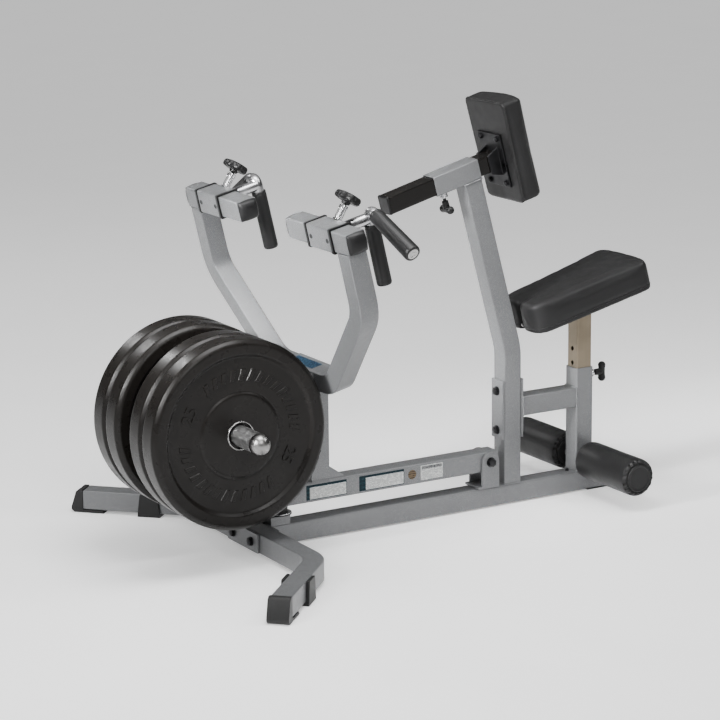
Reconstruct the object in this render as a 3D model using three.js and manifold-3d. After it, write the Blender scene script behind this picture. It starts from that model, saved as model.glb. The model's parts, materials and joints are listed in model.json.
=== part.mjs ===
// Plate-loaded seated row machine with a chest pad, as a three.js scene graph.
// Millimetres. +X runs from the weight plates to the seat, +Y is the left side, +Z is up. The exported group stands on z = 0.
import * as THREE from 'three';
import { mergeVertices } from 'three/addons/utils/BufferGeometryUtils.js';
import Module from 'manifold-3d';

const wasm = await Module();
wasm.setup();

// ---- driving dimensions ----
const GAP = 0.3; // air left between pieces that touch or are welded
const TUBE = 50; // outside width of the frame's square tube
const WALL = 2.5; // its wall
const CORNER = 4; // its corner radius
const PLATE = 6; // thickness of the bolted and welded steel plates
const CENTRING = 22.6; // shift along X that puts the middle of the whole machine over the origin
const FLOOR = 8; // height of the floor in the working frame

const RAIL = { bottom: 11, rear: 622 };
const STABILISER = { x: -409, z: 40.5, bendY: 303, legRun: 208, bend: 90 };
const JOINT_PLATE = { width: 150, bottom: 17, top: 64, boltY: 45 };
const SADDLE_BLOCK = { front: -375, rear: -322, height: 20 };
const BUMPER = { x: -338, discRadius: 30, discTop: 85, radius: 20 };

const MAST = { x: 316, bendZ: 405, bend: 160, lean: THREE.MathUtils.degToRad(15), leanLength: 472 };
const LINK = { z: 256, plateBottom: 178, plateTop: 328, boltZ: [299, 199] };
const SEAT_SLEEVE = { x: 534.6, top: 331, pinZ: 308 };
const ROLLER = { z: 96, radius: 48, inner: 42, outer: 262, barRadius: 12.5 };

const PIVOT = { x: 246, z: 128, boltRadius: 8, earHalfWidth: 25, earOuter: 31.6, footFront: 36 };
const LEVER = { front: -372, rear: 271.5 };
const POST = { x: -237.5, gussetRun: 46, gussetRise: 33 };
const BOOT = { sole: 62, heel: 17, toe: 25, toeUp: 14, shoulder: 12 };
const STRAP_FOOT = { middle: { left: 181, right: 142 }, top: 23, bottom: 30, wall: 8 };
const HORN = { x: -520.6, z: 335.4, radius: 24, domeRadius: 25.3, collarRadius: 36, collarOuter: 29.8, end: 275 };
const WEIGHT = { radius: 225, thickness: 66, bore: 25.8, first: 30.2 };

const HANDLE = { x: -343, z: 801.6, tilt: THREE.MathUtils.degToRad(13) };
const CROSSBAR = { inner: 118, outer: 390 };
const YOKE = { armY: 358, baseY: 145, elbowDown: 179, baseDown: 392, bend: 90 };
const SLEEVE = { y: 270, length: 99, outside: 56.5, wall: 2 };
const LINER = { inside: 50.6, outside: 52, flange: 60, flangeLength: 8 };
const PLUG = { edge: 3, swell: 12 };
const KNOB = { radius: 30.5, lobe: 2, rim: 4, depth: 12 };
const GRIP = {
  back: 110, radius: 18, flare: 2, tubeRadius: 14, bend: 17, apexUp: 28, stubUp: 3,
  uprightStart: 40, drop: 187, outwardStart: 30, reach: 184,
};
const GRIP_FALL = THREE.MathUtils.degToRad(28); // fall of the outward grip below level

const CHEST = { sleeveFront: -105, sleeveRear: 25, tubeFront: -236, plateAt: 84, tube: 44.4, pinAt: -76 };
const PAD = { low: -109, high: 151, halfWidth: 84, taper: 0.035, sideDepth: 50, depth: 75 };
const BRACKET = { halfWidth: 48, halfHeight: 68 };
const SEAT = { z: 490, tilt: THREE.MathUtils.degToRad(15), post: 44, postBottom: 190, thickness: 82 };
const HOLE_PITCH = 37;
const HOLE_RADIUS = 5.8;

// ---- materials ----
const finish = (color, roughness, metalness) =>
  new THREE.MeshStandardMaterial({ color, roughness, metalness, flatShading: true });
const silverPaint = finish(0x9a9b9c, 0.45, 0.35);
const blackChrome = finish(0x1b1b1e, 0.15, 0.9);
const satinNickel = finish(0xa09078, 0.35, 0.85);
const chrome = finish(0xc8c8cc, 0.15, 1);
const zinc = finish(0x77787a, 0.4, 0.9);
const plateRubber = finish(0x2a2826, 0.7, 0);
const blackRubber = finish(0x1c1c1c, 0.75, 0);
const blackPlastic = finish(0x161616, 0.45, 0);
const blackSteel = finish(0x1e1e20, 0.4, 0.6);
const blackVinyl = finish(0x232324, 0.55, 0);

// ---- solids ----
// A closed geometry as a manifold solid.
function solidOf(geometry) {
  const bare = geometry.clone();
  bare.deleteAttribute('normal');
  bare.deleteAttribute('uv');
  const merged = mergeVertices(bare, 1e-4);
  return new wasm.Manifold(new wasm.Mesh({
    numProp: 3,
    vertProperties: merged.attributes.position.array,
    triVerts: new Uint32Array(merged.index.array),
  }));
}

// A manifold solid as a geometry.
function geometryOf(solid) {
  const mesh = solid.getMesh();
  const geometry = new THREE.BufferGeometry();
  geometry.setAttribute('position', new THREE.BufferAttribute(new Float32Array(mesh.vertProperties), 3));
  geometry.setIndex(new THREE.BufferAttribute(new Uint32Array(mesh.triVerts), 1));
  return geometry;
}

function join(...geometries) {
  return geometryOf(geometries.map(solidOf).reduce((whole, next) => whole.add(next)));
}

function cut(geometry, ...tools) {
  return geometryOf(tools.map(solidOf).reduce((whole, tool) => whole.subtract(tool), solidOf(geometry)));
}

// A box between two corners.
function block([x0, y0, z0], [x1, y1, z1]) {
  const box = new THREE.BoxGeometry(x1 - x0, y1 - y0, z1 - z0);
  return box.translate((x0 + x1) / 2, (y0 + y1) / 2, (z0 + z1) / 2);
}

const X = new THREE.Vector3(1, 0, 0);
const Y = new THREE.Vector3(0, 1, 0);
const Z = new THREE.Vector3(0, 0, 1);

// A round rod from one point to another.
function rod(from, to, radius, sides = 16) {
  const start = new THREE.Vector3(...from);
  const end = new THREE.Vector3(...to);
  const along = end.clone().sub(start);
  const shape = new THREE.CylinderGeometry(radius, radius, along.length(), sides);
  shape.applyQuaternion(new THREE.Quaternion().setFromUnitVectors(Y, along.clone().normalize()));
  const middle = start.add(end).multiplyScalar(0.5);
  return shape.translate(middle.x, middle.y, middle.z);
}

function roundedSquare(width, height, radius) {
  const w = width / 2 - radius;
  const h = height / 2 - radius;
  const shape = new THREE.Shape();
  shape.absarc(w, h, radius, 0, Math.PI / 2);
  shape.absarc(-w, h, radius, Math.PI / 2, Math.PI);
  shape.absarc(-w, -h, radius, Math.PI, Math.PI * 1.5);
  shape.absarc(w, -h, radius, Math.PI * 1.5, Math.PI * 2);
  return shape;
}

function sharpSquare(width) {
  const half = width / 2;
  const corners = [[-half, -half], [half, -half], [half, half], [-half, half]];
  return new THREE.Shape(corners.map(([x, y]) => new THREE.Vector2(x, y)));
}

// A straight square tube, open at both ends, along X, Y or Z from one place to another on that axis.
function squareTube(axis, from, to, size = TUBE, wall = WALL) {
  const outline = roundedSquare(size, size, CORNER);
  const inside = size - 2 * wall;
  outline.holes.push(wall > 2 ? sharpSquare(inside) : roundedSquare(inside, inside, CORNER - wall));
  const tube = new THREE.ExtrudeGeometry(outline, { depth: to - from, bevelEnabled: false, curveSegments: 2 });
  tube.translate(0, 0, from);
  if (axis === 'x') tube.applyMatrix4(new THREE.Matrix4().makeBasis(Y, Z, X));
  if (axis === 'y') tube.applyMatrix4(new THREE.Matrix4().makeBasis(Z, X, Y));
  return tube;
}

// The outline of a strip of a given width along a route of [x, y] corners with rounded bends.
function stripOutline(route, bend, width) {
  const points = route.map(([x, y]) => new THREE.Vector2(x, y));
  const half = width / 2;
  const side = (sign) => {
    const edge = [];
    points.forEach((here, i) => {
      const before = points[i - 1];
      const after = points[i + 1];
      const inward = before ? here.clone().sub(before).normalize() : null;
      const outward = after ? after.clone().sub(here).normalize() : null;
      if (!inward || !outward) {
        const along = inward || outward;
        edge.push(new THREE.Vector2(here.x - along.y * half * sign, here.y + along.x * half * sign));
        return;
      }
      const turn = Math.asin(inward.cross(outward));
      const tangent = bend * Math.tan(Math.abs(turn) / 2);
      const left = Math.sign(turn);
      const start = here.clone().addScaledVector(inward, -tangent);
      const centre = new THREE.Vector2(start.x - inward.y * bend * left, start.y + inward.x * bend * left);
      const radius = bend - half * sign * left;
      const first = Math.atan2(inward.x * -left, inward.y * left);
      const steps = Math.max(3, Math.round(Math.abs(turn) / 0.16));
      for (let k = 0; k <= steps; k += 1) {
        const angle = first + (turn * k) / steps;
        edge.push(new THREE.Vector2(centre.x + Math.cos(angle) * radius, centre.y + Math.sin(angle) * radius));
      }
    });
    return edge;
  };
  return new THREE.Shape([...side(-1), ...side(1).reverse()]);
}

// A bent square tube in the XY plane, centred on z = 0 and open at both ends.
function bentTube(route, bend) {
  const soft = CORNER * 0.75;
  const outer = new THREE.ExtrudeGeometry(stripOutline(route, bend, TUBE), {
    depth: TUBE - 2 * soft,
    bevelThickness: soft,
    bevelSize: soft,
    bevelOffset: -soft,
    bevelSegments: 1,
  });
  outer.translate(0, 0, soft - TUBE / 2);
  const inside = TUBE - 2 * WALL;
  const core = new THREE.ExtrudeGeometry(stripOutline(stretched(route, 2), bend, inside), {
    depth: inside,
    bevelEnabled: false,
  });
  core.translate(0, 0, -inside / 2);
  return cut(outer, core);
}

// A route with both ends moved outwards.
function stretched(route, extra) {
  const move = ([x, y], [nextX, nextY]) => {
    const length = Math.hypot(x - nextX, y - nextY);
    return [x + ((x - nextX) * extra) / length, y + ((y - nextY) * extra) / length];
  };
  const last = route.length - 1;
  return [move(route[0], route[1]), ...route.slice(1, last), move(route[last], route[last - 1])];
}

// A flat outline of [x, z] corners, extruded across Y and centred on y = 0.
function acrossY(corners, width, soft = 0) {
  const shape = new THREE.Shape(corners.map(([x, z]) => new THREE.Vector2(x, z)));
  const slab = new THREE.ExtrudeGeometry(shape, {
    depth: width - 2 * soft,
    bevelEnabled: soft > 0,
    bevelThickness: soft,
    bevelSize: soft,
    bevelOffset: -soft,
    bevelSegments: 2,
  });
  slab.translate(0, 0, soft - width / 2);
  return slab.rotateX(Math.PI / 2);
}

// A turned solid from [radius, height] points, with its axis along X, Y or Z.
function turned(axis, profile, sides = 32) {
  const lathe = new THREE.LatheGeometry(profile.map(([r, h]) => new THREE.Vector2(r, h)), sides);
  if (axis === 'x') lathe.rotateZ(-Math.PI / 2);
  if (axis === 'z') lathe.rotateX(Math.PI / 2);
  return lathe;
}

// A hexagon-headed bolt with its nut: the head's seat and the nut's seat are stations along X.
function boltAlongX(headSeat, nutSeat, y, z, radius = 5) {
  const head = rod([headSeat - 6.5, y, z], [headSeat, y, z], radius * 1.75, 6);
  const shank = rod([headSeat - 1, y, z], [nutSeat + 14, y, z], radius, 12);
  const nut = rod([nutSeat, y, z], [nutSeat + 9, y, z], radius * 1.75, 6);
  return join(head, shank, nut);
}

const machine = new THREE.Group();

function add(name, geometry, material, group = machine) {
  const mesh = new THREE.Mesh(geometry, material);
  mesh.name = name;
  group.add(mesh);
  return mesh;
}

const SIDES = [['left', 1], ['right', -1]];
const RAIL_TOP = RAIL.bottom + TUBE;
const HALF = TUBE / 2;

// ---- base ----
function baseRail() {
  const plateRear = STABILISER.x + HALF + GAP + PLATE;
  const endPlate = block(
    [plateRear - PLATE, -JOINT_PLATE.width / 2, JOINT_PLATE.bottom],
    [plateRear, JOINT_PLATE.width / 2, JOINT_PLATE.top],
  );
  const rail = squareTube('x', plateRear - 0.5, RAIL.rear).translate(0, 0, RAIL.bottom + HALF);
  const saddle = block(
    [SADDLE_BLOCK.front, -HALF, RAIL_TOP - 1],
    [SADDLE_BLOCK.rear, HALF, RAIL_TOP + SADDLE_BLOCK.height],
  );
  return cut(join(endPlate, rail, saddle), ...jointBoltHoles());
}

function jointBoltHoles() {
  return SIDES.map(([, side]) => {
    const y = side * JOINT_PLATE.boltY;
    return rod([STABILISER.x - 60, y, STABILISER.z], [STABILISER.x + 60, y, STABILISER.z], 5.5, 12);
  });
}

function frontStabiliser() {
  const run = STABILISER.legRun - (PLATE + GAP) / Math.SQRT2;
  const { x, bendY } = STABILISER;
  const route = [[x - run, -bendY - run], [x, -bendY], [x, bendY], [x - run, bendY + run]];
  return cut(bentTube(route, STABILISER.bend).translate(0, 0, STABILISER.z), ...jointBoltHoles());
}

function jointPlate() {
  const rear = STABILISER.x - HALF - GAP;
  const plate = block(
    [rear - PLATE, -JOINT_PLATE.width / 2, JOINT_PLATE.bottom],
    [rear, JOINT_PLATE.width / 2, JOINT_PLATE.top],
  );
  return cut(plate, ...jointBoltHoles());
}

// The rubber boot on a leg's end, drawn with the leg's outer end at x = 0, the leg running along +X and
// the boot's slanted toe reaching past the end.
function legBoot() {
  const tubeBottom = STABILISER.z - HALF;
  const tubeTop = STABILISER.z + HALF;
  const { sole, heel, toe, toeUp, shoulder } = BOOT;
  return acrossY(
    [[-heel, FLOOR], [sole, FLOOR], [sole - 6, tubeBottom - GAP], [PLATE, tubeBottom - GAP],
      [PLATE, tubeTop + 1], [6 - shoulder, tubeTop + 1], [-shoulder, tubeTop - 4], [-toe, FLOOR + toeUp],
      [-toe, FLOOR + toeUp / 2]],
    TUBE + 2,
    1,
  );
}

// The rubber strap that cradles a leg, in the same leg frame as the boot.
function strapFoot(name) {
  const { top: topHalf, bottom: bottomHalf, wall } = STRAP_FOOT;
  const middle = STRAP_FOOT.middle[name];
  const tubeBottom = STABILISER.z - HALF;
  const top = STABILISER.z + HALF - 1;
  const corners = [
    [middle - bottomHalf, FLOOR], [middle + bottomHalf, FLOOR], [middle + topHalf, top], [middle - topHalf, top],
  ];
  const body = acrossY(corners, TUBE + 2 * (wall + GAP), 1.5);
  const channel = block(
    [middle - 40, -HALF - GAP, tubeBottom - GAP],
    [middle + 40, HALF + GAP, top + 10],
  );
  return cut(body, channel);
}

function legFrame(side) {
  const frame = new THREE.Group();
  const { x, bendY, legRun } = STABILISER;
  frame.position.set(x - legRun, side * (bendY + legRun), 0);
  frame.rotation.z = (-side * Math.PI) / 4;
  machine.add(frame);
  return frame;
}

add('base_rail', baseRail(), silverPaint);
add('front_stabiliser', frontStabiliser(), silverPaint);
add('stabiliser_joint_plate', jointPlate(), silverPaint);
for (const [name, side] of SIDES) {
  const headSeat = STABILISER.x - HALF - PLATE - 2 * GAP;
  const nutSeat = STABILISER.x + HALF + PLATE + 2 * GAP;
  add(`joint_bolt_${name}`, boltAlongX(headSeat, nutSeat, side * JOINT_PLATE.boltY, STABILISER.z), blackSteel);
  const leg = legFrame(side);
  add(`leg_boot_${name}`, legBoot(), blackRubber, leg);
  add(`strap_foot_${name}`, strapFoot(name), blackRubber, leg);
}
add(
  'rear_foot_pad',
  acrossY([[546, FLOOR], [620, FLOOR], [620, RAIL.bottom - GAP], [542, RAIL.bottom - GAP]], TUBE, 0.5),
  blackRubber,
);
add(
  'lever_bumper',
  turned('z', [
    [0, 81.3], [BUMPER.discRadius, 81.3], [BUMPER.discRadius, BUMPER.discTop], [BUMPER.radius, BUMPER.discTop],
    [BUMPER.radius, 99], [BUMPER.radius - 3, 102.6], [0, 102.6],
  ], 24).translate(BUMPER.x, 0, 0),
  blackRubber,
);

// ---- mast, cross link and sleeves ----
const mastUp = new THREE.Vector2(-Math.sin(MAST.lean), Math.cos(MAST.lean));
const chestOrigin = new THREE.Vector2(MAST.x, MAST.bendZ).addScaledVector(mastUp, MAST.leanLength);

function linkBoltHoles() {
  return LINK.boltZ.map((z) => rod([MAST.x - 60, 0, z], [MAST.x + 60, 0, z], 5.5, 12));
}

function mast() {
  const top = chestOrigin.clone().addScaledVector(mastUp, -HALF - GAP);
  const route = [[MAST.x, RAIL_TOP + GAP], [MAST.x, MAST.bendZ], [top.x, top.y]];
  return cut(bentTube(route, MAST.bend).rotateX(Math.PI / 2), ...linkBoltHoles());
}

function crossLink() {
  const flangeFront = MAST.x + HALF + GAP;
  const flange = block([flangeFront, -HALF, LINK.plateBottom], [flangeFront + PLATE, HALF, LINK.plateTop]);
  const rear = SEAT_SLEEVE.x - HALF - GAP;
  const tube = squareTube('x', flangeFront + PLATE - 0.5, rear).translate(0, 0, LINK.z);
  return cut(join(flange, tube), ...linkBoltHoles());
}

function seatSleeve() {
  const { x, top, pinZ } = SEAT_SLEEVE;
  const sleeve = squareTube('z', RAIL_TOP + GAP, top).translate(x, 0, 0);
  const barrel = rod([x + HALF - 1, 0, pinZ], [x + HALF + 13, 0, pinZ], 9);
  const barHole = rod([x, -HALF - 5, ROLLER.z], [x, HALF + 5, ROLLER.z], ROLLER.barRadius + GAP);
  const pinHole = rod([x + 15, 0, pinZ], [x + HALF + 20, 0, pinZ], 4.5, 12);
  return cut(join(sleeve, barrel), barHole, pinHole);
}

// A pull knob on a pin, drawn along +X with the pin's tip at x = 0.
function pullTee(pinLength, barLength) {
  const pin = rod([0, 0, 0], [pinLength, 0, 0], 4, 12);
  const neck = rod([pinLength - 14, 0, 0], [pinLength + 2, 0, 0], 8.5, 12);
  const bar = new THREE.ExtrudeGeometry(roundedSquare(20, barLength, 9), {
    depth: 15,
    bevelThickness: 2,
    bevelSize: 2,
    bevelOffset: -2,
    bevelSegments: 1,
    curveSegments: 3,
  });
  bar.applyMatrix4(new THREE.Matrix4().makeBasis(Y, Z, X)).translate(pinLength + 2, 0, 0);
  return join(pin, neck, bar);
}

add('mast', mast(), silverPaint);
add(
  'mast_front_plate',
  cut(
    block(
      [MAST.x - HALF - GAP - PLATE, -HALF, LINK.plateBottom],
      [MAST.x - HALF - GAP, HALF, LINK.plateTop],
    ),
    ...linkBoltHoles(),
  ),
  silverPaint,
);
['upper', 'lower'].forEach((name, i) => {
  const headSeat = MAST.x - HALF - PLATE - 2 * GAP;
  const nutSeat = MAST.x + HALF + PLATE + 2 * GAP;
  add(`mast_bolt_${name}`, boltAlongX(headSeat, nutSeat, 0, LINK.boltZ[i]), blackSteel);
});
add('cross_link', crossLink(), silverPaint);
add('seat_sleeve', seatSleeve(), silverPaint);
add(
  'seat_lock_pin',
  pullTee(38, 52).translate(SEAT_SLEEVE.x + SEAT.post / 2 + 1, 0, SEAT_SLEEVE.pinZ),
  blackPlastic,
);

// ---- chest pad carriage, in a frame whose +X runs up and back along the sleeve ----
const chest = new THREE.Group();
chest.position.set(chestOrigin.x, 0, chestOrigin.y);
chest.rotation.y = -MAST.lean;
machine.add(chest);

function chestSleeve() {
  const { sleeveFront, sleeveRear, tube, pinAt } = CHEST;
  const sleeve = squareTube('x', sleeveFront, sleeveRear, TUBE, (TUBE - tube) / 2 - GAP);
  const barrel = rod([pinAt, 0, -HALF + 1], [pinAt, 0, -HALF - 12], 9);
  const pinHole = rod([pinAt, 0, -15], [pinAt, 0, -HALF - 20], 4.5, 12);
  return cut(join(sleeve, barrel), pinHole);
}

function chestSlideTube() {
  const { tubeFront, plateAt, tube, pinAt } = CHEST;
  const slide = squareTube('x', tubeFront, plateAt - GAP, tube);
  const holes = [-5, -4, -3, -2, -1, 0, 1, 2].map((step) => {
    const x = pinAt + step * 25;
    return rod([x, 0, -tube / 2 - 3], [x, 0, -tube / 2 + 6], 4.5, 8);
  });
  return cut(slide, ...holes);
}

function padBracket() {
  const { plateAt, tube } = CHEST;
  const { halfWidth, halfHeight } = BRACKET;
  const plate = block([plateAt, -halfWidth, -halfHeight], [plateAt + PLATE, halfWidth, halfHeight]);
  const webInside = tube / 2 + GAP;
  const webs = SIDES.map(([, side]) => {
    const web = acrossY([[plateAt + 1, -38], [plateAt + 1, 34], [54, 22], [54, -26]], 5);
    return web.translate(0, side * (webInside + 2.5), 0);
  });
  return join(plate, ...webs);
}

// The chest pad: a flat back, a curved front, and a little wider at the top than at the bottom.
function chestPad() {
  const { halfWidth, taper, sideDepth, depth, low, high } = PAD;
  const soft = 9;
  const outline = new THREE.Shape();
  const crown = depth - sideDepth;
  const radius = (halfWidth * halfWidth + crown * crown) / (2 * crown);
  const sweep = Math.asin(halfWidth / radius);
  outline.moveTo(0, -halfWidth);
  outline.lineTo(sideDepth, -halfWidth);
  outline.absarc(depth - radius, 0, radius, -sweep, sweep);
  outline.lineTo(0, halfWidth);
  const pad = new THREE.ExtrudeGeometry(outline, {
    depth: high - low - 2 * soft,
    bevelThickness: soft,
    bevelSize: soft,
    bevelOffset: -soft,
    bevelSegments: 3,
    curveSegments: 10,
  });
  pad.translate(CHEST.plateAt + PLATE + GAP, 0, low + soft);
  const points = pad.attributes.position;
  for (let i = 0; i < points.count; i += 1) {
    const rise = (2 * points.getZ(i) - low - high) / (high - low);
    points.setY(i, points.getY(i) * (1 + taper * rise));
  }
  return pad;
}

add('chest_sleeve', chestSleeve(), silverPaint, chest);
add('chest_slide_tube', chestSlideTube(), blackChrome, chest);
add(
  'slide_tube_cap',
  join(
    block([CHEST.tubeFront - 4.3, -22, -22], [CHEST.tubeFront - GAP, 22, 22]),
    block([CHEST.tubeFront - 1, -19, -19], [CHEST.tubeFront + 14, 19, 19]),
  ),
  blackPlastic,
  chest,
);
add('pad_bracket', padBracket(), blackSteel, chest);
add('chest_pad', chestPad(), blackVinyl, chest);
add(
  'chest_lock_pin',
  pullTee(40, 46).rotateX(Math.PI / 2).rotateY(Math.PI / 2).translate(CHEST.pinAt, 0, -CHEST.tube / 2 - 1),
  blackPlastic,
  chest,
);

// ---- seat ----
function seatPost() {
  const top = SEAT.z - PLATE - 3;
  const { x, pinZ } = SEAT_SLEEVE;
  const post = squareTube('z', SEAT.postBottom, top - 9, SEAT.post).translate(x, 0, 0);
  const holes = [-2, -1, 0, 1, 2].map((step) => {
    const z = pinZ - 3 + step * HOLE_PITCH;
    return rod([x - 40, 0, z], [x + 40, 0, z], HOLE_RADIUS, 12);
  });
  const plate = block([-70, -50, -PLATE - GAP], [70, 50, -GAP]).rotateY(-SEAT.tilt).translate(x, 0, SEAT.z);
  const neck = squareTube('z', top - 20, SEAT.z - 1, SEAT.post).translate(x, 0, 0);
  const above = block([-200, -100, -GAP], [200, 100, 60]).rotateY(-SEAT.tilt).translate(x, 0, SEAT.z);
  return cut(join(cut(post, ...holes), neck, plate), above);
}

// The saddle-shaped cushion: a narrow notched nose in front and a broad rounded back.
function seatCushion() {
  const shape = new THREE.Shape();
  shape.moveTo(-169, -4);
  shape.quadraticCurveTo(-163, 0, -169, 4);
  shape.quadraticCurveTo(-183, 8, -183, 36);
  shape.quadraticCurveTo(-183, 79, -140, 84);
  shape.lineTo(131, 103);
  shape.bezierCurveTo(173, 107, 174, 64, 174, 0);
  shape.bezierCurveTo(174, -64, 173, -107, 131, -103);
  shape.lineTo(-140, -84);
  shape.quadraticCurveTo(-183, -79, -183, -36);
  shape.quadraticCurveTo(-183, -8, -169, -4);
  const soft = 9;
  const cushion = new THREE.ExtrudeGeometry(shape, {
    depth: SEAT.thickness - 2 * soft,
    bevelThickness: soft,
    bevelSize: soft,
    bevelOffset: -soft,
    bevelSegments: 2,
    curveSegments: 4,
  });
  return cushion.translate(0, 0, soft);
}

const seat = new THREE.Group();
seat.position.set(SEAT_SLEEVE.x, 0, SEAT.z);
seat.rotation.y = -SEAT.tilt;
machine.add(seat);
add('seat_post', seatPost(), satinNickel);
add('seat_cushion', seatCushion(), blackVinyl, seat);

// ---- foam rollers ----
const rollerEnd = ROLLER.outer - 12;
add(
  'roller_bar',
  rod(
    [SEAT_SLEEVE.x, -rollerEnd + 1, ROLLER.z],
    [SEAT_SLEEVE.x, rollerEnd - 1, ROLLER.z],
    ROLLER.barRadius,
  ),
  zinc,
);
for (const [name, side] of SIDES) {
  const bore = ROLLER.barRadius + 0.4;
  const profile = [
    [0, rollerEnd], [bore, rollerEnd], [bore, ROLLER.inner], [ROLLER.radius - 10, ROLLER.inner],
    [ROLLER.radius, ROLLER.inner + 10], [ROLLER.radius, ROLLER.outer - 14], [ROLLER.radius - 10, ROLLER.outer],
    [0, ROLLER.outer],
  ];
  const roller = turned('y', profile, 24);
  if (side < 0) roller.rotateX(Math.PI);
  add(`foam_roller_${name}`, roller.translate(SEAT_SLEEVE.x, 0, ROLLER.z), blackVinyl);
}

// ---- lever ----
function pivotClevis() {
  const { x, z, earHalfWidth, earOuter, footFront } = PIVOT;
  const low = RAIL_TOP + GAP;
  const ear = new THREE.Shape();
  ear.moveTo(x - earHalfWidth, low);
  ear.lineTo(x + earHalfWidth, low);
  ear.absarc(x, z, earHalfWidth, 0, Math.PI);
  const slab = new THREE.ExtrudeGeometry(ear, { depth: 2 * earOuter, bevelEnabled: false, curveSegments: 12 });
  slab.translate(0, 0, -earOuter).rotateX(Math.PI / 2);
  const slot = block(
    [x - 60, -HALF - GAP, low + PLATE],
    [x + 60, HALF + GAP, z + 60],
  );
  const foot = block([x - footFront, -earOuter, low], [x + earHalfWidth, earOuter, low + PLATE]);
  const hole = rod([x, -60, z], [x, 60, z], PIVOT.boltRadius + GAP);
  return cut(join(cut(slab, slot), foot), hole);
}

function pivotBolt() {
  const { x, z, earOuter, boltRadius } = PIVOT;
  const seatY = earOuter + GAP;
  const head = rod([x, -seatY - 9, z], [x, -seatY, z], 12.5, 6);
  const shank = rod([x, -seatY - 1, z], [x, seatY + 15, z], boltRadius);
  const nut = rod([x, seatY, z], [x, seatY + 12, z], 12.5, 6);
  return join(head, shank, nut);
}

function leverTube() {
  const tube = squareTube('x', LEVER.front, LEVER.rear).translate(0, 0, PIVOT.z);
  const hole = rod([PIVOT.x, -60, PIVOT.z], [PIVOT.x, 60, PIVOT.z], PIVOT.boltRadius + GAP);
  return cut(tube, hole);
}

const LEVER_TOP = PIVOT.z + HALF;

// The post is cut at the top to the slope of the saddle that it carries.
function leverPost() {
  const saddleUnder = YOKE.baseDown + HALF + PLATE + 2 * GAP;
  const under = new THREE.Vector2(
    HANDLE.x + saddleUnder * Math.sin(HANDLE.tilt),
    HANDLE.z - saddleUnder * Math.cos(HANDLE.tilt),
  );
  const topAt = (x) => under.y + (x - under.x) * Math.tan(HANDLE.tilt);
  const front = POST.x - HALF;
  const rear = POST.x + HALF;
  const low = LEVER_TOP + GAP;
  const outer = acrossY([[front, low], [rear, low], [rear, topAt(rear)], [front, topAt(front)]], TUBE);
  const bore = block([front + WALL, -HALF + WALL, low - 5], [rear - WALL, HALF - WALL, topAt(rear) + 5]);
  const gusset = acrossY([[rear - 1, low], [rear + POST.gussetRun, low], [rear - 1, low + POST.gussetRise]], 44);
  return join(cut(outer, bore), gusset);
}

function weightHorn(side) {
  const { radius, domeRadius, collarRadius, collarOuter, end } = HORN;
  const bore = 20;
  const start = HALF + GAP;
  const dome = [0, 1, 2, 3].map((i) => {
    const angle = (i * Math.PI) / 6;
    return [domeRadius * Math.cos(angle), end - domeRadius + domeRadius * Math.sin(angle)];
  });
  dome[3][0] = 0;
  const profile = [
    [0, end - 45], [bore, end - 45], [bore, start], [collarRadius, start], [collarRadius, collarOuter],
    [radius, collarOuter], [radius, end - 33], [domeRadius, end - 31], ...dome,
  ];
  const horn = turned('y', profile, 20);
  if (side < 0) horn.rotateX(Math.PI);
  return horn.translate(HORN.x, 0, HORN.z);
}

// A bumper plate: a rounded tread, a raised rim, a sunk web and a raised hub, alike on both faces.
function weightPlate(side, innerFace) {
  const { radius, thickness, bore } = WEIGHT;
  const half = [[bore, 4], [98, 4], [102, 8], [182, 8], [187, 0], [216, 0], [radius, 9]];
  const profile = [...half, ...half.map(([r, t]) => [r, thickness - t]).reverse()];
  profile.push(profile[0]);
  const plate = turned('y', profile, 28);
  if (side < 0) plate.rotateX(Math.PI);
  return plate.translate(HORN.x, side * innerFace, HORN.z);
}

add('pivot_clevis', pivotClevis(), silverPaint);
add('pivot_bolt', pivotBolt(), blackSteel);
add('lever_tube', leverTube(), silverPaint);
add('lever_post', leverPost(), silverPaint);
add(
  'horn_arm',
  squareTube('x', HORN.x - HALF, POST.x - HALF - GAP).translate(0, 0, HORN.z),
  silverPaint,
);
for (const [name, side] of SIDES) {
  add(`weight_horn_${name}`, weightHorn(side), zinc);
  add(`inner_plate_${name}`, weightPlate(side, WEIGHT.first), plateRubber);
  add(`outer_plate_${name}`, weightPlate(side, WEIGHT.first + WEIGHT.thickness + 0.4), plateRubber);
}

// ---- yoke and handles, in a frame whose +Z runs up the leaning yoke ----
const handles = new THREE.Group();
handles.position.set(HANDLE.x, 0, HANDLE.z);
handles.rotation.y = -HANDLE.tilt;
machine.add(handles);

function yoke() {
  const { armY, baseY, elbowDown, baseDown, bend } = YOKE;
  const top = -HALF - GAP;
  const route = [[-armY, top], [-armY, -elbowDown], [-baseY, -baseDown], [baseY, -baseDown], [armY, -elbowDown],
    [armY, top]];
  return bentTube(route, bend).applyMatrix4(new THREE.Matrix4().makeBasis(Y, Z, X));
}

function yokeSaddle() {
  const inside = HALF + GAP;
  const base = YOKE.baseDown + inside;
  const outer = block([-inside - PLATE, -80, -base - PLATE], [inside + PLATE, 80, -base + 46]);
  return cut(outer, block([-inside, -90, -base], [inside, 90, -base + 60]));
}

// A square tube's plug with a pillowed outer face, drawn along +Y with the tube's end at y = 0.
function tubePlug() {
  const cap = new THREE.BoxGeometry(TUBE, 1, TUBE, 4, 1, 4);
  const points = cap.attributes.position;
  for (let i = 0; i < points.count; i += 1) {
    const across = (2 * points.getX(i)) / TUBE;
    const along = (2 * points.getZ(i)) / TUBE;
    const height = PLUG.edge + PLUG.swell * (1 - across * across) * (1 - along * along);
    points.setY(i, points.getY(i) > 0 ? height : GAP);
  }
  const inside = TUBE / 2 - WALL - 0.5;
  return join(cap, block([-inside, -12, -inside], [inside, 2, inside]));
}

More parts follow.
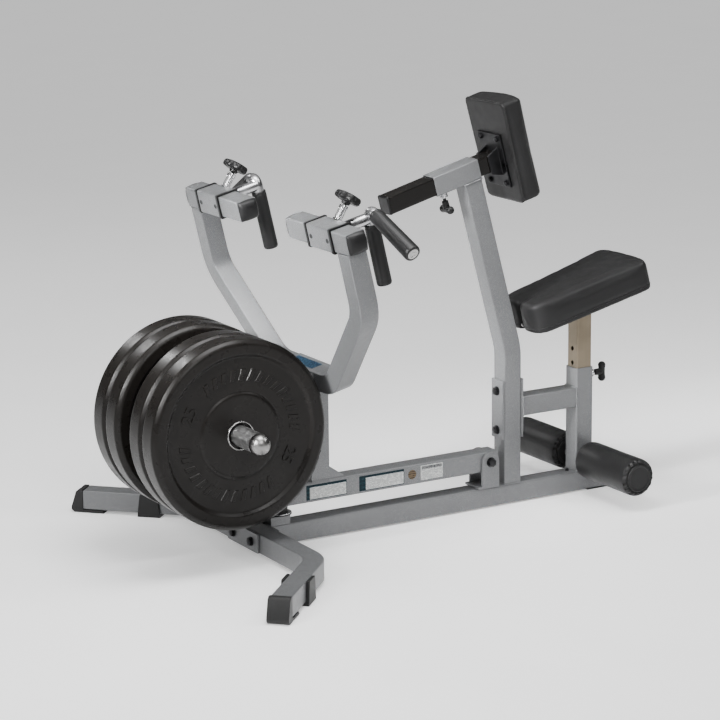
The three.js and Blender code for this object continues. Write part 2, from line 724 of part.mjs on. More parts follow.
function handleLiner() {
  const wall = (LINER.outside - LINER.inside) / 2;
  const flangeWall = (LINER.flange - LINER.inside) / 2;
  const half = SLEEVE.length / 2;
  const thin = squareTube('y', -half - 1, half + 1, LINER.outside, wall);
  const near = squareTube('y', -half - GAP - LINER.flangeLength, -half - GAP, LINER.flange, flangeWall);
  const far = squareTube('y', half + GAP, half + GAP + LINER.flangeLength, LINER.flange, flangeWall);
  return join(thin, near, far);
}

const CORNER_OUT = (SLEEVE.outside / 2) * Math.SQRT2;
const diagonal = (reach) => [reach * Math.SQRT1_2, 0, reach * Math.SQRT1_2];

function handleSleeve() {
  const half = SLEEVE.length / 2;
  const sleeve = squareTube('y', -half, half, SLEEVE.outside, SLEEVE.wall);
  const barrel = rod(diagonal(CORNER_OUT - 2.5), diagonal(CORNER_OUT + 34), 9);
  const bore = rod(diagonal(30), diagonal(CORNER_OUT + 40), 4.6, 12);
  return cut(join(sleeve, barrel), bore);
}

// A lobed hand knob on a pin, drawn along +Z with the pin's tip at z = 0.
function starKnob(pinLength) {
  const lobes = 7;
  const outline = new THREE.Shape();
  const points = 21;
  for (let i = 0; i < points; i += 1) {
    const angle = (i / points) * Math.PI * 2;
    const reach = KNOB.radius + KNOB.lobe * Math.cos(lobes * angle);
    const method = i === 0 ? 'moveTo' : 'lineTo';
    outline[method](reach * Math.cos(angle), reach * Math.sin(angle));
  }
  const head = new THREE.ExtrudeGeometry(outline, {
    depth: KNOB.depth,
    bevelThickness: KNOB.rim,
    bevelSize: KNOB.rim,
    bevelOffset: -KNOB.rim,
    bevelSegments: 1,
  });
  head.translate(0, 0, pinLength);
  const hub = rod([0, 0, pinLength - 8], [0, 0, pinLength], 9);
  return join(rod([0, 0, 0], [0, 0, pinLength], 4, 12), hub, head);
}

// The bent tube under both grips, joined to the stub that ties it to the sleeve.
const apex = new THREE.Vector3(GRIP.back, 0, GRIP.apexUp);
const outwardDirection = (side) => new THREE.Vector3(0, side * Math.cos(GRIP_FALL), -Math.sin(GRIP_FALL));

function handleTube(side) {
  const { bend } = GRIP;
  const turn = Math.PI / 2 + GRIP_FALL;
  const tangent = bend * Math.tan(turn / 2);
  const lean = outwardDirection(side);
  const lower = apex.clone().addScaledVector(Z, -tangent);
  const outer = apex.clone().addScaledVector(lean, tangent);
  const ease = (4 / 3) * Math.tan(turn / 4) * bend;
  const arc = new THREE.CubicBezierCurve3(
    lower,
    lower.clone().addScaledVector(Z, ease),
    outer.clone().addScaledVector(lean, -ease),
    outer,
  );
  const circle = new THREE.Shape().absarc(0, 0, GRIP.tubeRadius, 0, Math.PI * 2);
  const elbow = new THREE.ExtrudeGeometry(circle, { steps: 7, extrudePath: arc, curveSegments: 6 });
  const down = apex.clone().addScaledVector(Z, -GRIP.drop + 6);
  const out = apex.clone().addScaledVector(lean, GRIP.reach - 6);
  const stubStart = [SLEEVE.outside / 2 + GAP, 0, GRIP.stubUp];
  return join(
    elbow,
    rod(lower.clone().addScaledVector(Z, 1).toArray(), down.toArray(), GRIP.tubeRadius, 12),
    rod(outer.clone().addScaledVector(lean, -1).toArray(), out.toArray(), GRIP.tubeRadius, 12),
    rod(stubStart, [GRIP.back, 0, GRIP.stubUp], GRIP.tubeRadius, 12),
  );
}

// A rubber grip closed at its outer end and a little thicker there, drawn down -Z from z = 0.
function grip(length, flare = 0) {
  const { radius, tubeRadius } = GRIP;
  const bore = tubeRadius + GAP;
  const end = radius + flare;
  const profile = [
    [0, -length], [end - 2, -length], [end, -length + 2], [radius, -2], [radius - 2, 0], [bore, 0],
    [bore, -length + 6 - GAP], [0, -length + 6 - GAP],
  ];
  return turned('z', profile, 16);
}

add('yoke', yoke(), silverPaint, handles);
add('yoke_saddle', yokeSaddle(), silverPaint, handles);
for (const [name, side] of SIDES) {
  const middle = (side * (CROSSBAR.inner + CROSSBAR.outer)) / 2;
  const half = (CROSSBAR.outer - CROSSBAR.inner) / 2;
  add(`crossbar_${name}`, squareTube('y', -half, half), silverPaint, handles).position.y = middle;
  const outerPlug = tubePlug();
  const innerPlug = tubePlug();
  (side > 0 ? innerPlug : outerPlug).rotateX(Math.PI);
  add(`crossbar_plug_outer_${name}`, outerPlug, blackPlastic, handles).position.y = side * CROSSBAR.outer;
  add(`crossbar_plug_inner_${name}`, innerPlug, blackPlastic, handles).position.y = side * CROSSBAR.inner;

  const slide = new THREE.Group();
  slide.position.y = side * SLEEVE.y;
  handles.add(slide);
  add(`handle_liner_${name}`, handleLiner(), blackPlastic, slide);
  add(`handle_sleeve_${name}`, handleSleeve(), silverPaint, slide);
  add(`handle_tube_${name}`, handleTube(side), chrome, slide);
  const knob = add(`handle_lock_pin_${name}`, starKnob(48), blackPlastic, slide);
  knob.position.set(...diagonal(CORNER_OUT - 1.5));
  knob.rotation.y = Math.PI / 4;

  const { uprightStart, outwardStart } = GRIP;
  const upright = add(`upright_grip_${name}`, grip(GRIP.drop - uprightStart), blackRubber, slide);
  upright.position.copy(apex).addScaledVector(Z, -uprightStart);
  const outward = add(`outward_grip_${name}`, grip(GRIP.reach - outwardStart, GRIP.flare), blackRubber, slide);
  outward.position.copy(apex).addScaledVector(outwardDirection(side), outwardStart);
  outward.rotation.x = side * (Math.PI / 2 - GRIP_FALL);
}

// The parts above share one working frame; the group around them centres the whole machine on the floor.
machine.position.set(CENTRING, 0, -FLOOR);
const centred = new THREE.Group();
centred.add(machine);

export default centred;
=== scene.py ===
"""Looks for the plate-loaded row machine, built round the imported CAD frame. Metres, row frame."""
import json
import math
import bpy
import bmesh
from mathutils import Matrix, Vector, noise
from mathutils.bvhtree import BVHTree


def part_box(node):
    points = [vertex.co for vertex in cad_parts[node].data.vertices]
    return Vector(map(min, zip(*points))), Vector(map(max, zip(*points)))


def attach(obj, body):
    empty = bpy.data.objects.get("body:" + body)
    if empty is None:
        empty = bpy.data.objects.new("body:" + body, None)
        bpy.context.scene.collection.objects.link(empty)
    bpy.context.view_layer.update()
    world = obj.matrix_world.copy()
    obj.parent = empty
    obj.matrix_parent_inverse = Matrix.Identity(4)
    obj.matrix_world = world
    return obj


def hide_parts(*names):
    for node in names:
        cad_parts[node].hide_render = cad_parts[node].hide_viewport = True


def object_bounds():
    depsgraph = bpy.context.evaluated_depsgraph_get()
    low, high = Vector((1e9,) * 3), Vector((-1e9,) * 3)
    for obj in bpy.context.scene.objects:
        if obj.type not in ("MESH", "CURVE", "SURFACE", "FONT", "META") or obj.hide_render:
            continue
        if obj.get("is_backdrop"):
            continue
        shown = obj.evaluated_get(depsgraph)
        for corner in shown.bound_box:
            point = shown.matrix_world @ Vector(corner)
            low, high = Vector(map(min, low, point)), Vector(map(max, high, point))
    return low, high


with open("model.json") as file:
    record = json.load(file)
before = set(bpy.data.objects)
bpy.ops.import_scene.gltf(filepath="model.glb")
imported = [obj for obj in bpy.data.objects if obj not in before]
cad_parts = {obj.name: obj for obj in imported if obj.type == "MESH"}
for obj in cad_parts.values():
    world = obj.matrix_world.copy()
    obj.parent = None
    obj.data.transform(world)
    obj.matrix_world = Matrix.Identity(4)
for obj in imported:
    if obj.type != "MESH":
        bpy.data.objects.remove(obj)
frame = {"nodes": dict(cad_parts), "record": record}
CAD_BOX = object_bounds()
RECORD = frame["record"]
BODY_OF = {node: body for body, nodes in RECORD["behaviour"]["bodies"].items() for node in nodes}
SLOT_OF = {part["node"]: part["material_slot"] for part in RECORD["subparts"]}
MM = 0.001
SIDES = (("left", 1), ("right", -1))
rad = math.radians

# Places are measured in a working frame whose origin sits CENTRING along X and FLOOR below the row's own.
CENTRING = 0.0226
FLOOR = 0.008
FRAME = Matrix.Translation((CENTRING, 0, -FLOOR))

# The machine's main places, as in the CAD part.
MAST_X, MAST_BEND_Z, CHEST_SLEEVE_UP = 0.316, 0.405, 0.472
SEAT_X, SEAT_Z = 0.5346, 0.49
PIVOT_X, PIVOT_Z = 0.246, 0.128
BUMPER_X, LEVER_POST_X = -0.338, -0.2375
RAIL_Z, RAIL_TOP, LINK_Z = 0.036, 0.061, 0.256
CROSSBAR_X, CROSSBAR_Z, YOKE_DOWN = -0.343, 0.8016, -0.392
HANDLE_Y = 0.27
HALF_TUBE = 0.025
JOINT_BOLT_Y, JOINT_BOLT_Z = 0.045, 0.0405 - FLOOR
MAST_BOLTS = (("upper", 0.299 - FLOOR), ("lower", 0.199 - FLOOR))
SEAT_PIN_Z = 0.308

# The three tilted groups of the CAD part: handles, chest pad and seat.
LEAN = rad(15)
YOKE_LEAN = rad(13)
HANDLES = FRAME @ Matrix.Translation((CROSSBAR_X, 0, CROSSBAR_Z)) @ Matrix.Rotation(-YOKE_LEAN, 4, "Y")
CHEST = FRAME @ Matrix.Translation((MAST_X - CHEST_SLEEVE_UP * math.sin(LEAN), 0,
                                    MAST_BEND_Z + CHEST_SLEEVE_UP * math.cos(LEAN))) @ Matrix.Rotation(-LEAN, 4, "Y")
SEAT = FRAME @ Matrix.Translation((SEAT_X, 0, SEAT_Z)) @ Matrix.Rotation(-LEAN, 4, "Y")


# ---- materials
class Shader:
    """A Principled material with small helpers for its node tree."""

    def __init__(self, name, color, roughness, metallic=0.0, **sockets):
        self.material = bpy.data.materials.new(name)
        self.material.use_nodes = True
        self.tree = self.material.node_tree
        self.bsdf = self.tree.nodes["Principled BSDF"]
        self.color = color
        self.roughness = roughness
        self.bsdf.inputs["Base Color"].default_value = (*color, 1)
        self.bsdf.inputs["Roughness"].default_value = roughness
        self.bsdf.inputs["Metallic"].default_value = metallic
        for key, value in sockets.items():
            self.bsdf.inputs[key.replace("_", " ")].default_value = value
        self.height = None
        self.place = self.tree.nodes.new("ShaderNodeTexCoord").outputs["Object"]

    def node(self, kind, **values):
        made = self.tree.nodes.new(kind)
        for key, value in values.items():
            if hasattr(made, key) and key not in [s.name for s in made.inputs]:
                setattr(made, key, value)
            else:
                made.inputs[key.replace("_", " ")].default_value = value
        return made

    def link(self, a, b):
        self.tree.links.new(a, b)

    def scaled(self, stretch):
        mapping = self.node("ShaderNodeMapping")
        mapping.inputs["Scale"].default_value = stretch
        self.link(self.place, mapping.inputs["Vector"])
        return mapping.outputs["Vector"]

    def noise(self, scale, detail=3.0, stretch=(1, 1, 1)):
        tex = self.node("ShaderNodeTexNoise", Scale=scale, Detail=detail)
        self.link(self.scaled(stretch), tex.inputs["Vector"])
        return tex.outputs["Fac"]

    def cells(self, scale, feature="F1"):
        tex = self.node("ShaderNodeTexVoronoi", Scale=scale)
        tex.feature = feature
        self.link(self.scaled((1, 1, 1)), tex.inputs["Vector"])
        return tex.outputs["Distance"]

    def ramp(self, value, low, high, out_low=0.0, out_high=1.0):
        made = self.node("ShaderNodeMapRange")
        for key, number in (("From Min", low), ("From Max", high), ("To Min", out_low), ("To Max", out_high)):
            made.inputs[key].default_value = number
        self.link(value, made.inputs["Value"])
        return made.outputs["Result"]

    def tint(self, mask, other):
        """Mixes the base colour towards another one where the mask is high."""
        mix = self.node("ShaderNodeMix")
        mix.data_type = "RGBA"
        mix.inputs["A"].default_value = (*self.color, 1)
        socket = self.bsdf.inputs["Base Color"]
        if socket.is_linked:
            self.link(socket.links[0].from_socket, mix.inputs["A"])
        mix.inputs["B"].default_value = (*other, 1)
        self.link(mask, mix.inputs["Factor"])
        self.link(mix.outputs["Result"], socket)

    def vary_roughness(self, value, spread):
        r = self.roughness
        self.link(self.ramp(value, 0.3, 0.7, r - spread, r + spread), self.bsdf.inputs["Roughness"])

    def bump(self, value, distance, strength):
        """Adds relief on top of the relief the material already has."""
        made = self.node("ShaderNodeBump", Strength=strength, Distance=distance)
        self.link(value, made.inputs["Height"])
        if self.height:
            self.link(self.height, made.inputs["Normal"])
        self.height = made.outputs["Normal"]
        self.link(self.height, self.bsdf.inputs["Normal"])


def powder_coat():
    s = Shader("silver_powder_coat", (0.134, 0.137, 0.141), 0.44, 0.4, Coat_Weight=0.12, Coat_Roughness=0.22)
    s.tint(s.ramp(s.noise(5.0, 5), 0.35, 0.7), (0.117, 0.120, 0.124))
    s.tint(s.ramp(s.noise(1500.0, 2), 0.58, 0.72), (0.36, 0.363, 0.368))
    s.vary_roughness(s.noise(60.0, 4), 0.05)
    s.bump(s.noise(420.0, 3), 0.00012, 0.5)
    s.bump(s.noise(1600.0, 2), 0.00004, 0.5)
    return s.material


def metal(name, color, roughness):
    s = Shader(name, color, roughness, 1.0)
    s.vary_roughness(s.noise(35.0, 5), roughness * 0.4)
    s.bump(s.noise(260.0, 4, (0.15, 1, 1)), 0.00003, 0.5)
    s.tint(s.ramp(s.noise(9.0, 4), 0.4, 0.75), tuple(c * 0.75 for c in color))
    return s.material


def nickel():
    s = Shader("champagne_nickel", (0.22, 0.183, 0.134), 0.36, 1.0, Anisotropic=0.4)
    s.bump(s.noise(700.0, 3, (1, 1, 0.03)), 0.00005, 0.6)
    s.vary_roughness(s.noise(120.0, 4, (1, 1, 0.1)), 0.08)
    s.tint(s.ramp(s.noise(14.0, 5), 0.45, 0.75), (0.17, 0.142, 0.102))
    return s.material


def rubber(name, color, roughness, grain=0.00012, dust=0.05, specular=0.28):
    s = Shader(name, color, roughness, 0.0, Specular_IOR_Level=specular)
    s.bump(s.noise(900.0, 4), grain, 0.6)
    s.bump(s.cells(260.0), grain * 0.6, 0.35)
    s.tint(s.ramp(s.noise(22.0, 6), 0.52, 0.85, 0, 0.6), tuple(c + dust * 0.4 for c in color))
    s.vary_roughness(s.noise(30.0, 5), 0.07)
    return s.material


def moulded(name, color, roughness, specular=0.24):
    s = Shader(name, color, roughness, 0.0, Specular_IOR_Level=specular)
    s.bump(s.noise(1200.0, 3), 0.00006, 0.6)
    s.vary_roughness(s.noise(50.0, 4), 0.06)
    s.tint(s.ramp(s.noise(18.0, 4), 0.5, 0.8), tuple(c * 1.6 for c in color))
    return s.material


def vinyl():
    s = Shader("black_vinyl", (0.0115, 0.0113, 0.0115), 0.44, 0.0, Specular_IOR_Level=0.2)
    s.bump(s.cells(620.0, "SMOOTH_F1"), 0.00035, 0.55)
    s.bump(s.noise(1500.0, 3), 0.00008, 0.4)
    s.bump(s.noise(17.0, 4), 0.0008, 0.3)
    s.vary_roughness(s.noise(40.0, 5), 0.06)
    s.tint(s.ramp(s.noise(12.0, 5), 0.45, 0.8), (0.014, 0.014, 0.0143))
    return s.material


def galvanised():
    s = Shader("zinc_plate", (0.42, 0.42, 0.42), 0.46, 1.0)
    s.bump(s.noise(700.0, 5), 0.00025, 0.7)
    s.vary_roughness(s.noise(90.0, 5), 0.12)
    s.tint(s.ramp(s.noise(40.0, 5), 0.4, 0.7), (0.25, 0.248, 0.24))
    return s.material


def paper(name, ground, ink, lines, axis="Z"):
    """A printed label: a plain ground with rows of plain bars in place of print."""
    s = Shader(name, ground, 0.5, 0.0, Specular_IOR_Level=0.15)
    wave = s.node("ShaderNodeTexWave", Scale=lines)
    wave.bands_direction = axis
    s.link(s.place, wave.inputs["Vector"])
    rows = s.ramp(wave.outputs["Fac"], 0.55, 0.62)
    words = s.ramp(s.noise(170.0, 2, (1, 1, 2.4)), 0.44, 0.46)
    both = s.node("ShaderNodeMath", operation="MULTIPLY")
    s.link(rows, both.inputs[0])
    s.link(words, both.inputs[1])
    s.tint(both.outputs[0], ink)
    s.bump(s.noise(300.0, 3), 0.00003, 0.4)
    return s.material


PAINT = powder_coat()
BLACK_CHROME = moulded("black_chrome", (0.0045, 0.004, 0.0036), 0.08, 0.26)
CHROME = metal("bright_chrome", (0.74, 0.74, 0.75), 0.13)
SATIN_CHROME = metal("satin_chrome", (0.52, 0.52, 0.53), 0.27)
POLISHED = metal("polished_steel", (0.40, 0.395, 0.39), 0.25)
DOME_STEEL = metal("dome_steel", (0.27, 0.265, 0.26), 0.3)
BLACK_STEEL = metal("blackened_steel", (0.035, 0.035, 0.037), 0.42)
NICKEL = nickel()
ZINC = galvanised()
PLATE_RUBBER = rubber("plate_rubber", (0.0062, 0.0054, 0.0048), 0.30, 0.00016, 0.005, 0.17)
GRIP_RUBBER = rubber("grip_rubber", (0.006, 0.006, 0.0062), 0.42, dust=0.01)
FOOT_RUBBER = rubber("foot_rubber", (0.012, 0.012, 0.012), 0.5, dust=0.015)
PLASTIC = moulded("black_plastic", (0.0055, 0.0055, 0.0057), 0.42)
VINYL = vinyl()
LOOKS = {
    "frame_paint": PAINT, "black_chrome": BLACK_CHROME, "satin_nickel": NICKEL, "chrome": CHROME, "zinc": ZINC,
    "black_steel": BLACK_STEEL, "plate_rubber": PLATE_RUBBER, "black_rubber": FOOT_RUBBER,
    "black_plastic": PLASTIC, "vinyl": VINYL,
}


# ---- mesh helpers
def put(name, bm, material, body, replaces=(), sharp=40, weighted=True):
    """Turns a bmesh into a shaded object that rides on a body."""
    bmesh.ops.recalc_face_normals(bm, faces=bm.faces)
    for face in bm.faces:
        face.smooth = True
    for edge in bm.edges:
        edge.smooth = len(edge.link_faces) == 2 and edge.calc_face_angle(0) < rad(sharp)
    mesh = bpy.data.meshes.new(name)
    bm.to_mesh(mesh)
    bm.free()
    mesh.materials.append(material)
    piece = bpy.data.objects.new(name, mesh)
    bpy.context.collection.objects.link(piece)
    if weighted:
        made = piece.modifiers.new("normals", "WEIGHTED_NORMAL")
        made.keep_sharp = True
    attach(piece, body)
    if replaces:
        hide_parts(*replaces)
    return piece


def refine(node, width, segments):
    """A copy of a CAD node with its hard edges eased by a width in millimetres and its curves shaded smooth."""
    bm = bmesh.new()
    bm.from_mesh(frame["nodes"][node].data)
    bmesh.ops.remove_doubles(bm, verts=bm.verts, dist=2e-5)
    bmesh.ops.dissolve_limit(bm, angle_limit=rad(0.6), verts=bm.verts, edges=bm.edges)
    hard = [e for e in bm.edges if len(e.link_faces) == 2 and e.calc_face_angle(0) > rad(52)]
    bmesh.ops.bevel(bm, geom=hard, offset=width * MM, segments=segments, affect="EDGES", profile=0.5,
                    clamp_overlap=False)
    slot = SLOT_OF[node]
    put(node + "_skin", bm, LOOKS[slot], BODY_OF[node], (node,), sharp=50)


def eased(profile, radius, steps=5):
    """A profile of (r, h) or (r, h, own radius) points with its inner corners rounded."""
    out = []
    last = len(profile) - 1
    for i, point in enumerate(profile):
        here = Vector(point[:2])
        reach = point[2] if len(point) > 2 else radius
        if i in (0, last) or reach <= 0:
            out.append(here)
            continue
        before = Vector(profile[i - 1][:2]) - here
        after = Vector(profile[i + 1][:2]) - here
        cut = min(reach, before.length * 0.49, after.length * 0.49)
        start = here + before.normalized() * cut
        end = here + after.normalized() * cut
        for k in range(steps + 1):
            t = k / steps
            out.append(start * (1 - t) ** 2 + here * 2 * t * (1 - t) + end * t ** 2)
    return out


def axis_matrix(origin, direction):
    """A frame at origin whose Z axis runs along a direction."""
    turn = Vector((0, 0, 1)).rotation_difference(Vector(direction)).to_matrix().to_4x4()
    return Matrix.Translation(origin) @ turn


def band(bm, a, b):
    """Joins two closed loops of as many points with quads."""
    for i in range(len(a)):
        k = (i + 1) % len(a)
        bm.faces.new([a[i], a[k], b[k], b[i]])


def revolve(bm, profile, matrix, segments=64, wave=None, loop=False):
    """Adds a turned surface to bm: profile points are (radius, height) in metres; loop joins last to first."""
    rings = []
    for r, h in profile:
        if r < 1e-7:
            rings.append([bm.verts.new(matrix @ Vector((0, 0, h)))])
            continue
        ring = []
        for i in range(segments):
            angle = 2 * math.pi * i / segments
            reach, lift = (r, h) if wave is None else wave(r, h, angle)
            ring.append(bm.verts.new(matrix @ Vector((reach * math.cos(angle), reach * math.sin(angle), lift))))
        rings.append(ring)
    for a, b in zip(rings, rings[1:]):
        for i in range(segments):
            k = (i + 1) % segments
            corners = [a[i % len(a)], a[k % len(a)], b[k % len(b)], b[i % len(b)]]
            unique = list(dict.fromkeys(corners))
            if len(unique) > 2:
                bm.faces.new(unique)
    if loop:
        band(bm, rings[-1], rings[0])


def turned(name, profile, matrix, material, body, replaces=(), segments=64, sharp=35, wave=None, loop=False):
    """A turned piece of its own; its parameters are those of revolve() and put()."""
    bm = bmesh.new()
    revolve(bm, profile, matrix, segments, wave, loop)
    return put(name, bm, material, body, replaces, sharp)


def sweep(bm, path, radius, sides, closed=False, ripple=None):
    """Adds a round tube along points; ripple(i) scales its radius."""
    count = len(path)
    side = None
    rings = []
    for i, here in enumerate(path):
        ahead = path[(i + 1) % count] if closed or i < count - 1 else here
        behind = path[i - 1] if closed or i > 0 else here
        along = (ahead - behind).normalized()
        if side is None:
            side = along.orthogonal().normalized()
        side = (side - along * side.dot(along)).normalized()
        up = along.cross(side)
        r = radius * (ripple(i) if ripple else 1)
        rings.append([bm.verts.new(here + (side * math.cos(a) + up * math.sin(a)) * r)
                      for a in (2 * math.pi * k / sides for k in range(sides))])
    pairs = list(zip(rings, rings[1:])) + ([(rings[-1], rings[0])] if closed else [])
    if closed:
        # The frame may come back turned, so the last ring joins the first at its nearest point.
        shift = min(range(sides), key=lambda k: (rings[-1][0].co - rings[0][k].co).length)
        pairs[-1] = (rings[-1], rings[0][shift:] + rings[0][:shift])
    for a, b in pairs:
        band(bm, a, b)
    if not closed:
        bm.faces.new(rings[0])
        bm.faces.new(rings[-1])


def rounded_square(half_x, half_y, corner, spacing):
    """Points round a rounded rectangle, about evenly spaced."""
    points = []
    for cx, cy, start in ((1, 1, 0), (-1, 1, 90), (-1, -1, 180), (1, -1, 270)):
        for k in range(4):
            a = rad(start + 30 * k)
            points.append(Vector((cx * (half_x - corner) + corner * math.cos(a),
                                  cy * (half_y - corner) + corner * math.sin(a), 0)))
    out = []
    for a, b in zip(points, points[1:] + points[:1]):
        steps = max(1, round((b - a).length / spacing))
        out += [a.lerp(b, k / steps) for k in range(steps)]
    return out


def weld(name, matrix, half_x, half_y, body, bead=2.2 * MM):
    """A rippled weld bead round the foot of a tube that stands along the matrix's Z axis."""
    bm = bmesh.new()
    loop = [matrix @ p for p in rounded_square(half_x, half_y, 4 * MM, 1.3 * MM)]
    sweep(bm, loop, bead, 6, True, lambda i: 1 + 0.16 * math.sin(i * 1.55))
    put(name, bm, PAINT, body, sharp=80, weighted=False)


def slab(bm, matrix, size, bevel, segments):
    """Adds a box with eased edges, centred on the matrix."""
    made = bmesh.ops.create_cube(bm, size=1, matrix=matrix @ Matrix.Diagonal((*size, 1)))
    edges = list(dict.fromkeys(e for v in made["verts"] for e in v.link_edges))
    bmesh.ops.bevel(bm, geom=edges, offset=bevel, segments=segments, affect="EDGES", profile=0.5)


def washer(bm, matrix, radius):
    """Adds a thin washer with a softened rim."""
    revolve(bm, eased([(0, 0), (radius, 0), (radius, 1.6 * MM), (0, 1.6 * MM)], 0.5 * MM, 2), matrix, 32)


def hexagon(bm, matrix, radius, depth, middle):
    """Adds a chamfered hexagon prism whose middle is that far up the matrix's Z axis."""
    made = bmesh.ops.create_cone(bm, cap_ends=True, segments=6, radius1=radius, radius2=radius, depth=depth,
                                 matrix=matrix @ Matrix.Translation((0, 0, middle)))
    edges = list(dict.fromkeys(e for v in made["verts"] for e in v.link_edges))
    bmesh.ops.bevel(bm, geom=edges, offset=0.9 * MM, segments=2, affect="EDGES", profile=0.5)


def hex_bolt(name, matrix, body, width=17.5 * MM, height=7 * MM):
    """A black hexagon head with a chamfered, slightly domed top on a washer; +Z points out of the work."""
    bm = bmesh.new()
    washer(bm, matrix, width * 0.66)
    base = 1.5 * MM
    hexagon(bm, matrix, width / math.sqrt(3), height, base + height / 2)
    dome = eased([(width * 0.44, base + height - 0.4 * MM), (width * 0.3, base + height + 1.1 * MM, 3 * MM),
                  (0, base + height + 1.4 * MM)], 2 * MM)
    revolve(bm, dome, matrix, 24)
    return put(name, bm, BLACK_STEEL, body)


def flange_nut(name, matrix, body):
    """A bright nut on a washer with the bolt's end standing out of it."""
    bm = bmesh.new()
    washer(bm, matrix, 11 * MM)
    hexagon(bm, matrix, 9.8 * MM, 9 * MM, 6 * MM)
    revolve(bm, eased([(5 * MM, 5 * MM), (5 * MM, 14.5 * MM), (0, 14.5 * MM)], 0.8 * MM, 2), matrix, 24)
    put(name, bm, CHROME, body)


# ---- steelwork taken over from the CAD solids
EASING = {"chest_slide_tube": (0.5, 2), "slide_tube_cap": (4, 4), "pad_bracket": (1.0, 2), "seat_post": (0.5, 2),
          "leg_boot_left": (1.6, 3), "leg_boot_right": (1.6, 3), "strap_foot_left": (1.4, 3),
          "strap_foot_right": (1.4, 3), "rear_foot_pad": (0.5, 2), "handle_liner_left": (0.25, 2),
          "handle_liner_right": (0.25, 2)}
for node in ("base_rail", "front_stabiliser", "stabiliser_joint_plate", "mast", "mast_front_plate", "cross_link",
             "seat_sleeve", "chest_sleeve", "pivot_clevis", "lever_tube", "lever_post", "horn_arm", "yoke",
             "yoke_saddle", "crossbar_left", "crossbar_right", "handle_sleeve_left", "handle_sleeve_right", *EASING,
             "roller_bar"):
    refine(node, *EASING.get(node, (0.8, 2)))

# ---- welds
WELD_HALF = HALF_TUBE + 0.5 * MM
LENGTHWISE = (1, 0, 0)
for name, place, body in (
        ("mast_foot", Matrix.Translation((MAST_X, 0, RAIL_TOP + 0.5 * MM)), "base"),
        ("seat_sleeve_foot", Matrix.Translation((SEAT_X, 0, RAIL_TOP + 0.5 * MM)), "base"),
        ("link_rear", axis_matrix((0.5093, 0, LINK_Z), LENGTHWISE), "base"),
        ("link_front", axis_matrix((0.3475, 0, LINK_Z), LENGTHWISE), "base"),
        ("rail_flange", axis_matrix((-0.3775, 0, RAIL_Z), LENGTHWISE), "base"),
        ("lever_post", Matrix.Translation((LEVER_POST_X, 0, 0.1532)), "lever"),
        ("horn_arm", axis_matrix((-0.2627, 0, 0.3354), LENGTHWISE), "lever")):
    weld("weld_" + name, FRAME @ place, WELD_HALF, WELD_HALF, body)
weld("weld_chest_sleeve", CHEST @ Matrix.Translation((0, 0, -0.0252)), WELD_HALF, WELD_HALF, "base")
weld("weld_yoke_saddle", HANDLES @ Matrix.Translation((0, 0, -0.4235)), 0.0245, WELD_HALF, "lever")
for side, s in SIDES:
    # A slimmer bead, because the handle's liner slides right past it.
    weld(f"weld_crossbar_{side}", HANDLES @ Matrix.Translation((0, s * 0.358, -0.0252)), 0.0252, 0.0244, "lever",
         bead=1.2 * MM)

# ---- bolts
for side, s in SIDES:
    place = axis_matrix((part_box("stabiliser_joint_plate")[0].x, s * JOINT_BOLT_Y, JOINT_BOLT_Z), (-1, 0, 0))
    bolt = hex_bolt(f"joint_bolt_head_{side}", place, "base")
    flange_nut(f"joint_nut_{side}",
               axis_matrix((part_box("base_rail")[0].x + 0.0063, s * JOINT_BOLT_Y, JOINT_BOLT_Z), LENGTHWISE), "base")
    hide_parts(f"joint_bolt_{side}")
for name, z in MAST_BOLTS:
    bolt = hex_bolt(f"mast_bolt_head_{name}", axis_matrix((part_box("mast_front_plate")[0].x, 0, z), (-1, 0, 0)), "base")
    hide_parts(f"mast_bolt_{name}")
    hex_bolt(f"mast_nut_{name}", axis_matrix((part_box("cross_link")[0].x + 0.006, 0, z), LENGTHWISE), "base")
CLEVIS_FACE = 0.0316
pivot = hex_bolt("pivot_bolt_head", FRAME @ axis_matrix((PIVOT_X, -CLEVIS_FACE, PIVOT_Z), (0, -1, 0)), "base",
                 19 * MM, 9 * MM)
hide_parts("pivot_bolt")
hex_bolt("pivot_nut", FRAME @ axis_matrix((PIVOT_X, CLEVIS_FACE, PIVOT_Z), (0, 1, 0)), "base", 19 * MM, 11 * MM)
for i, (y, h) in enumerate(((35, 57), (-35, 57), (35, -57), (-35, -57))):
    place = CHEST @ axis_matrix((0.084, y * MM, h * MM), (-1, 0, 0))
    hex_bolt(f"pad_bolt_{i}", place, "chest_carriage", 12 * MM, 4.5 * MM)
SCREW = eased([(0, 0.15 * MM), (3.2 * MM, 0.15 * MM, 0.3 * MM), (5.5 * MM, 1.0 * MM, 0.6 * MM),
               (6.0 * MM, -0.3 * MM)], 0.3 * MM, 3)
for side, s in SIDES:
    for k, along in ((0, -37 * MM), (1, 37 * MM)):
        place = HANDLES @ axis_matrix((-0.02825, s * HANDLE_Y + along, 0), (-1, 0, 0))
        turned(f"sleeve_screw_{side}_{k}", SCREW, place, PLASTIC, f"handle_{side}", segments=24)
    place = HANDLES @ axis_matrix((-0.0313, s * 63 * MM, YOKE_DOWN), (-1, 0, 0))
    hex_bolt(f"saddle_bolt_{side}", place, "lever", 12 * MM, 5 * MM)
for name, x in (("front", -0.3825), ("rear", 0.4985)):
    hex_bolt(f"rail_screw_{name}", FRAME @ Matrix.Translation((x, 0, RAIL_TOP)), "base", 8 * MM, 3 * MM)

# ---- weight plates and horns
WEB_Z = 8 * MM
PLATE_THICKNESS = 66
HORN_RADIUS = 24 * MM
DOME_RADIUS = 25.3 * MM


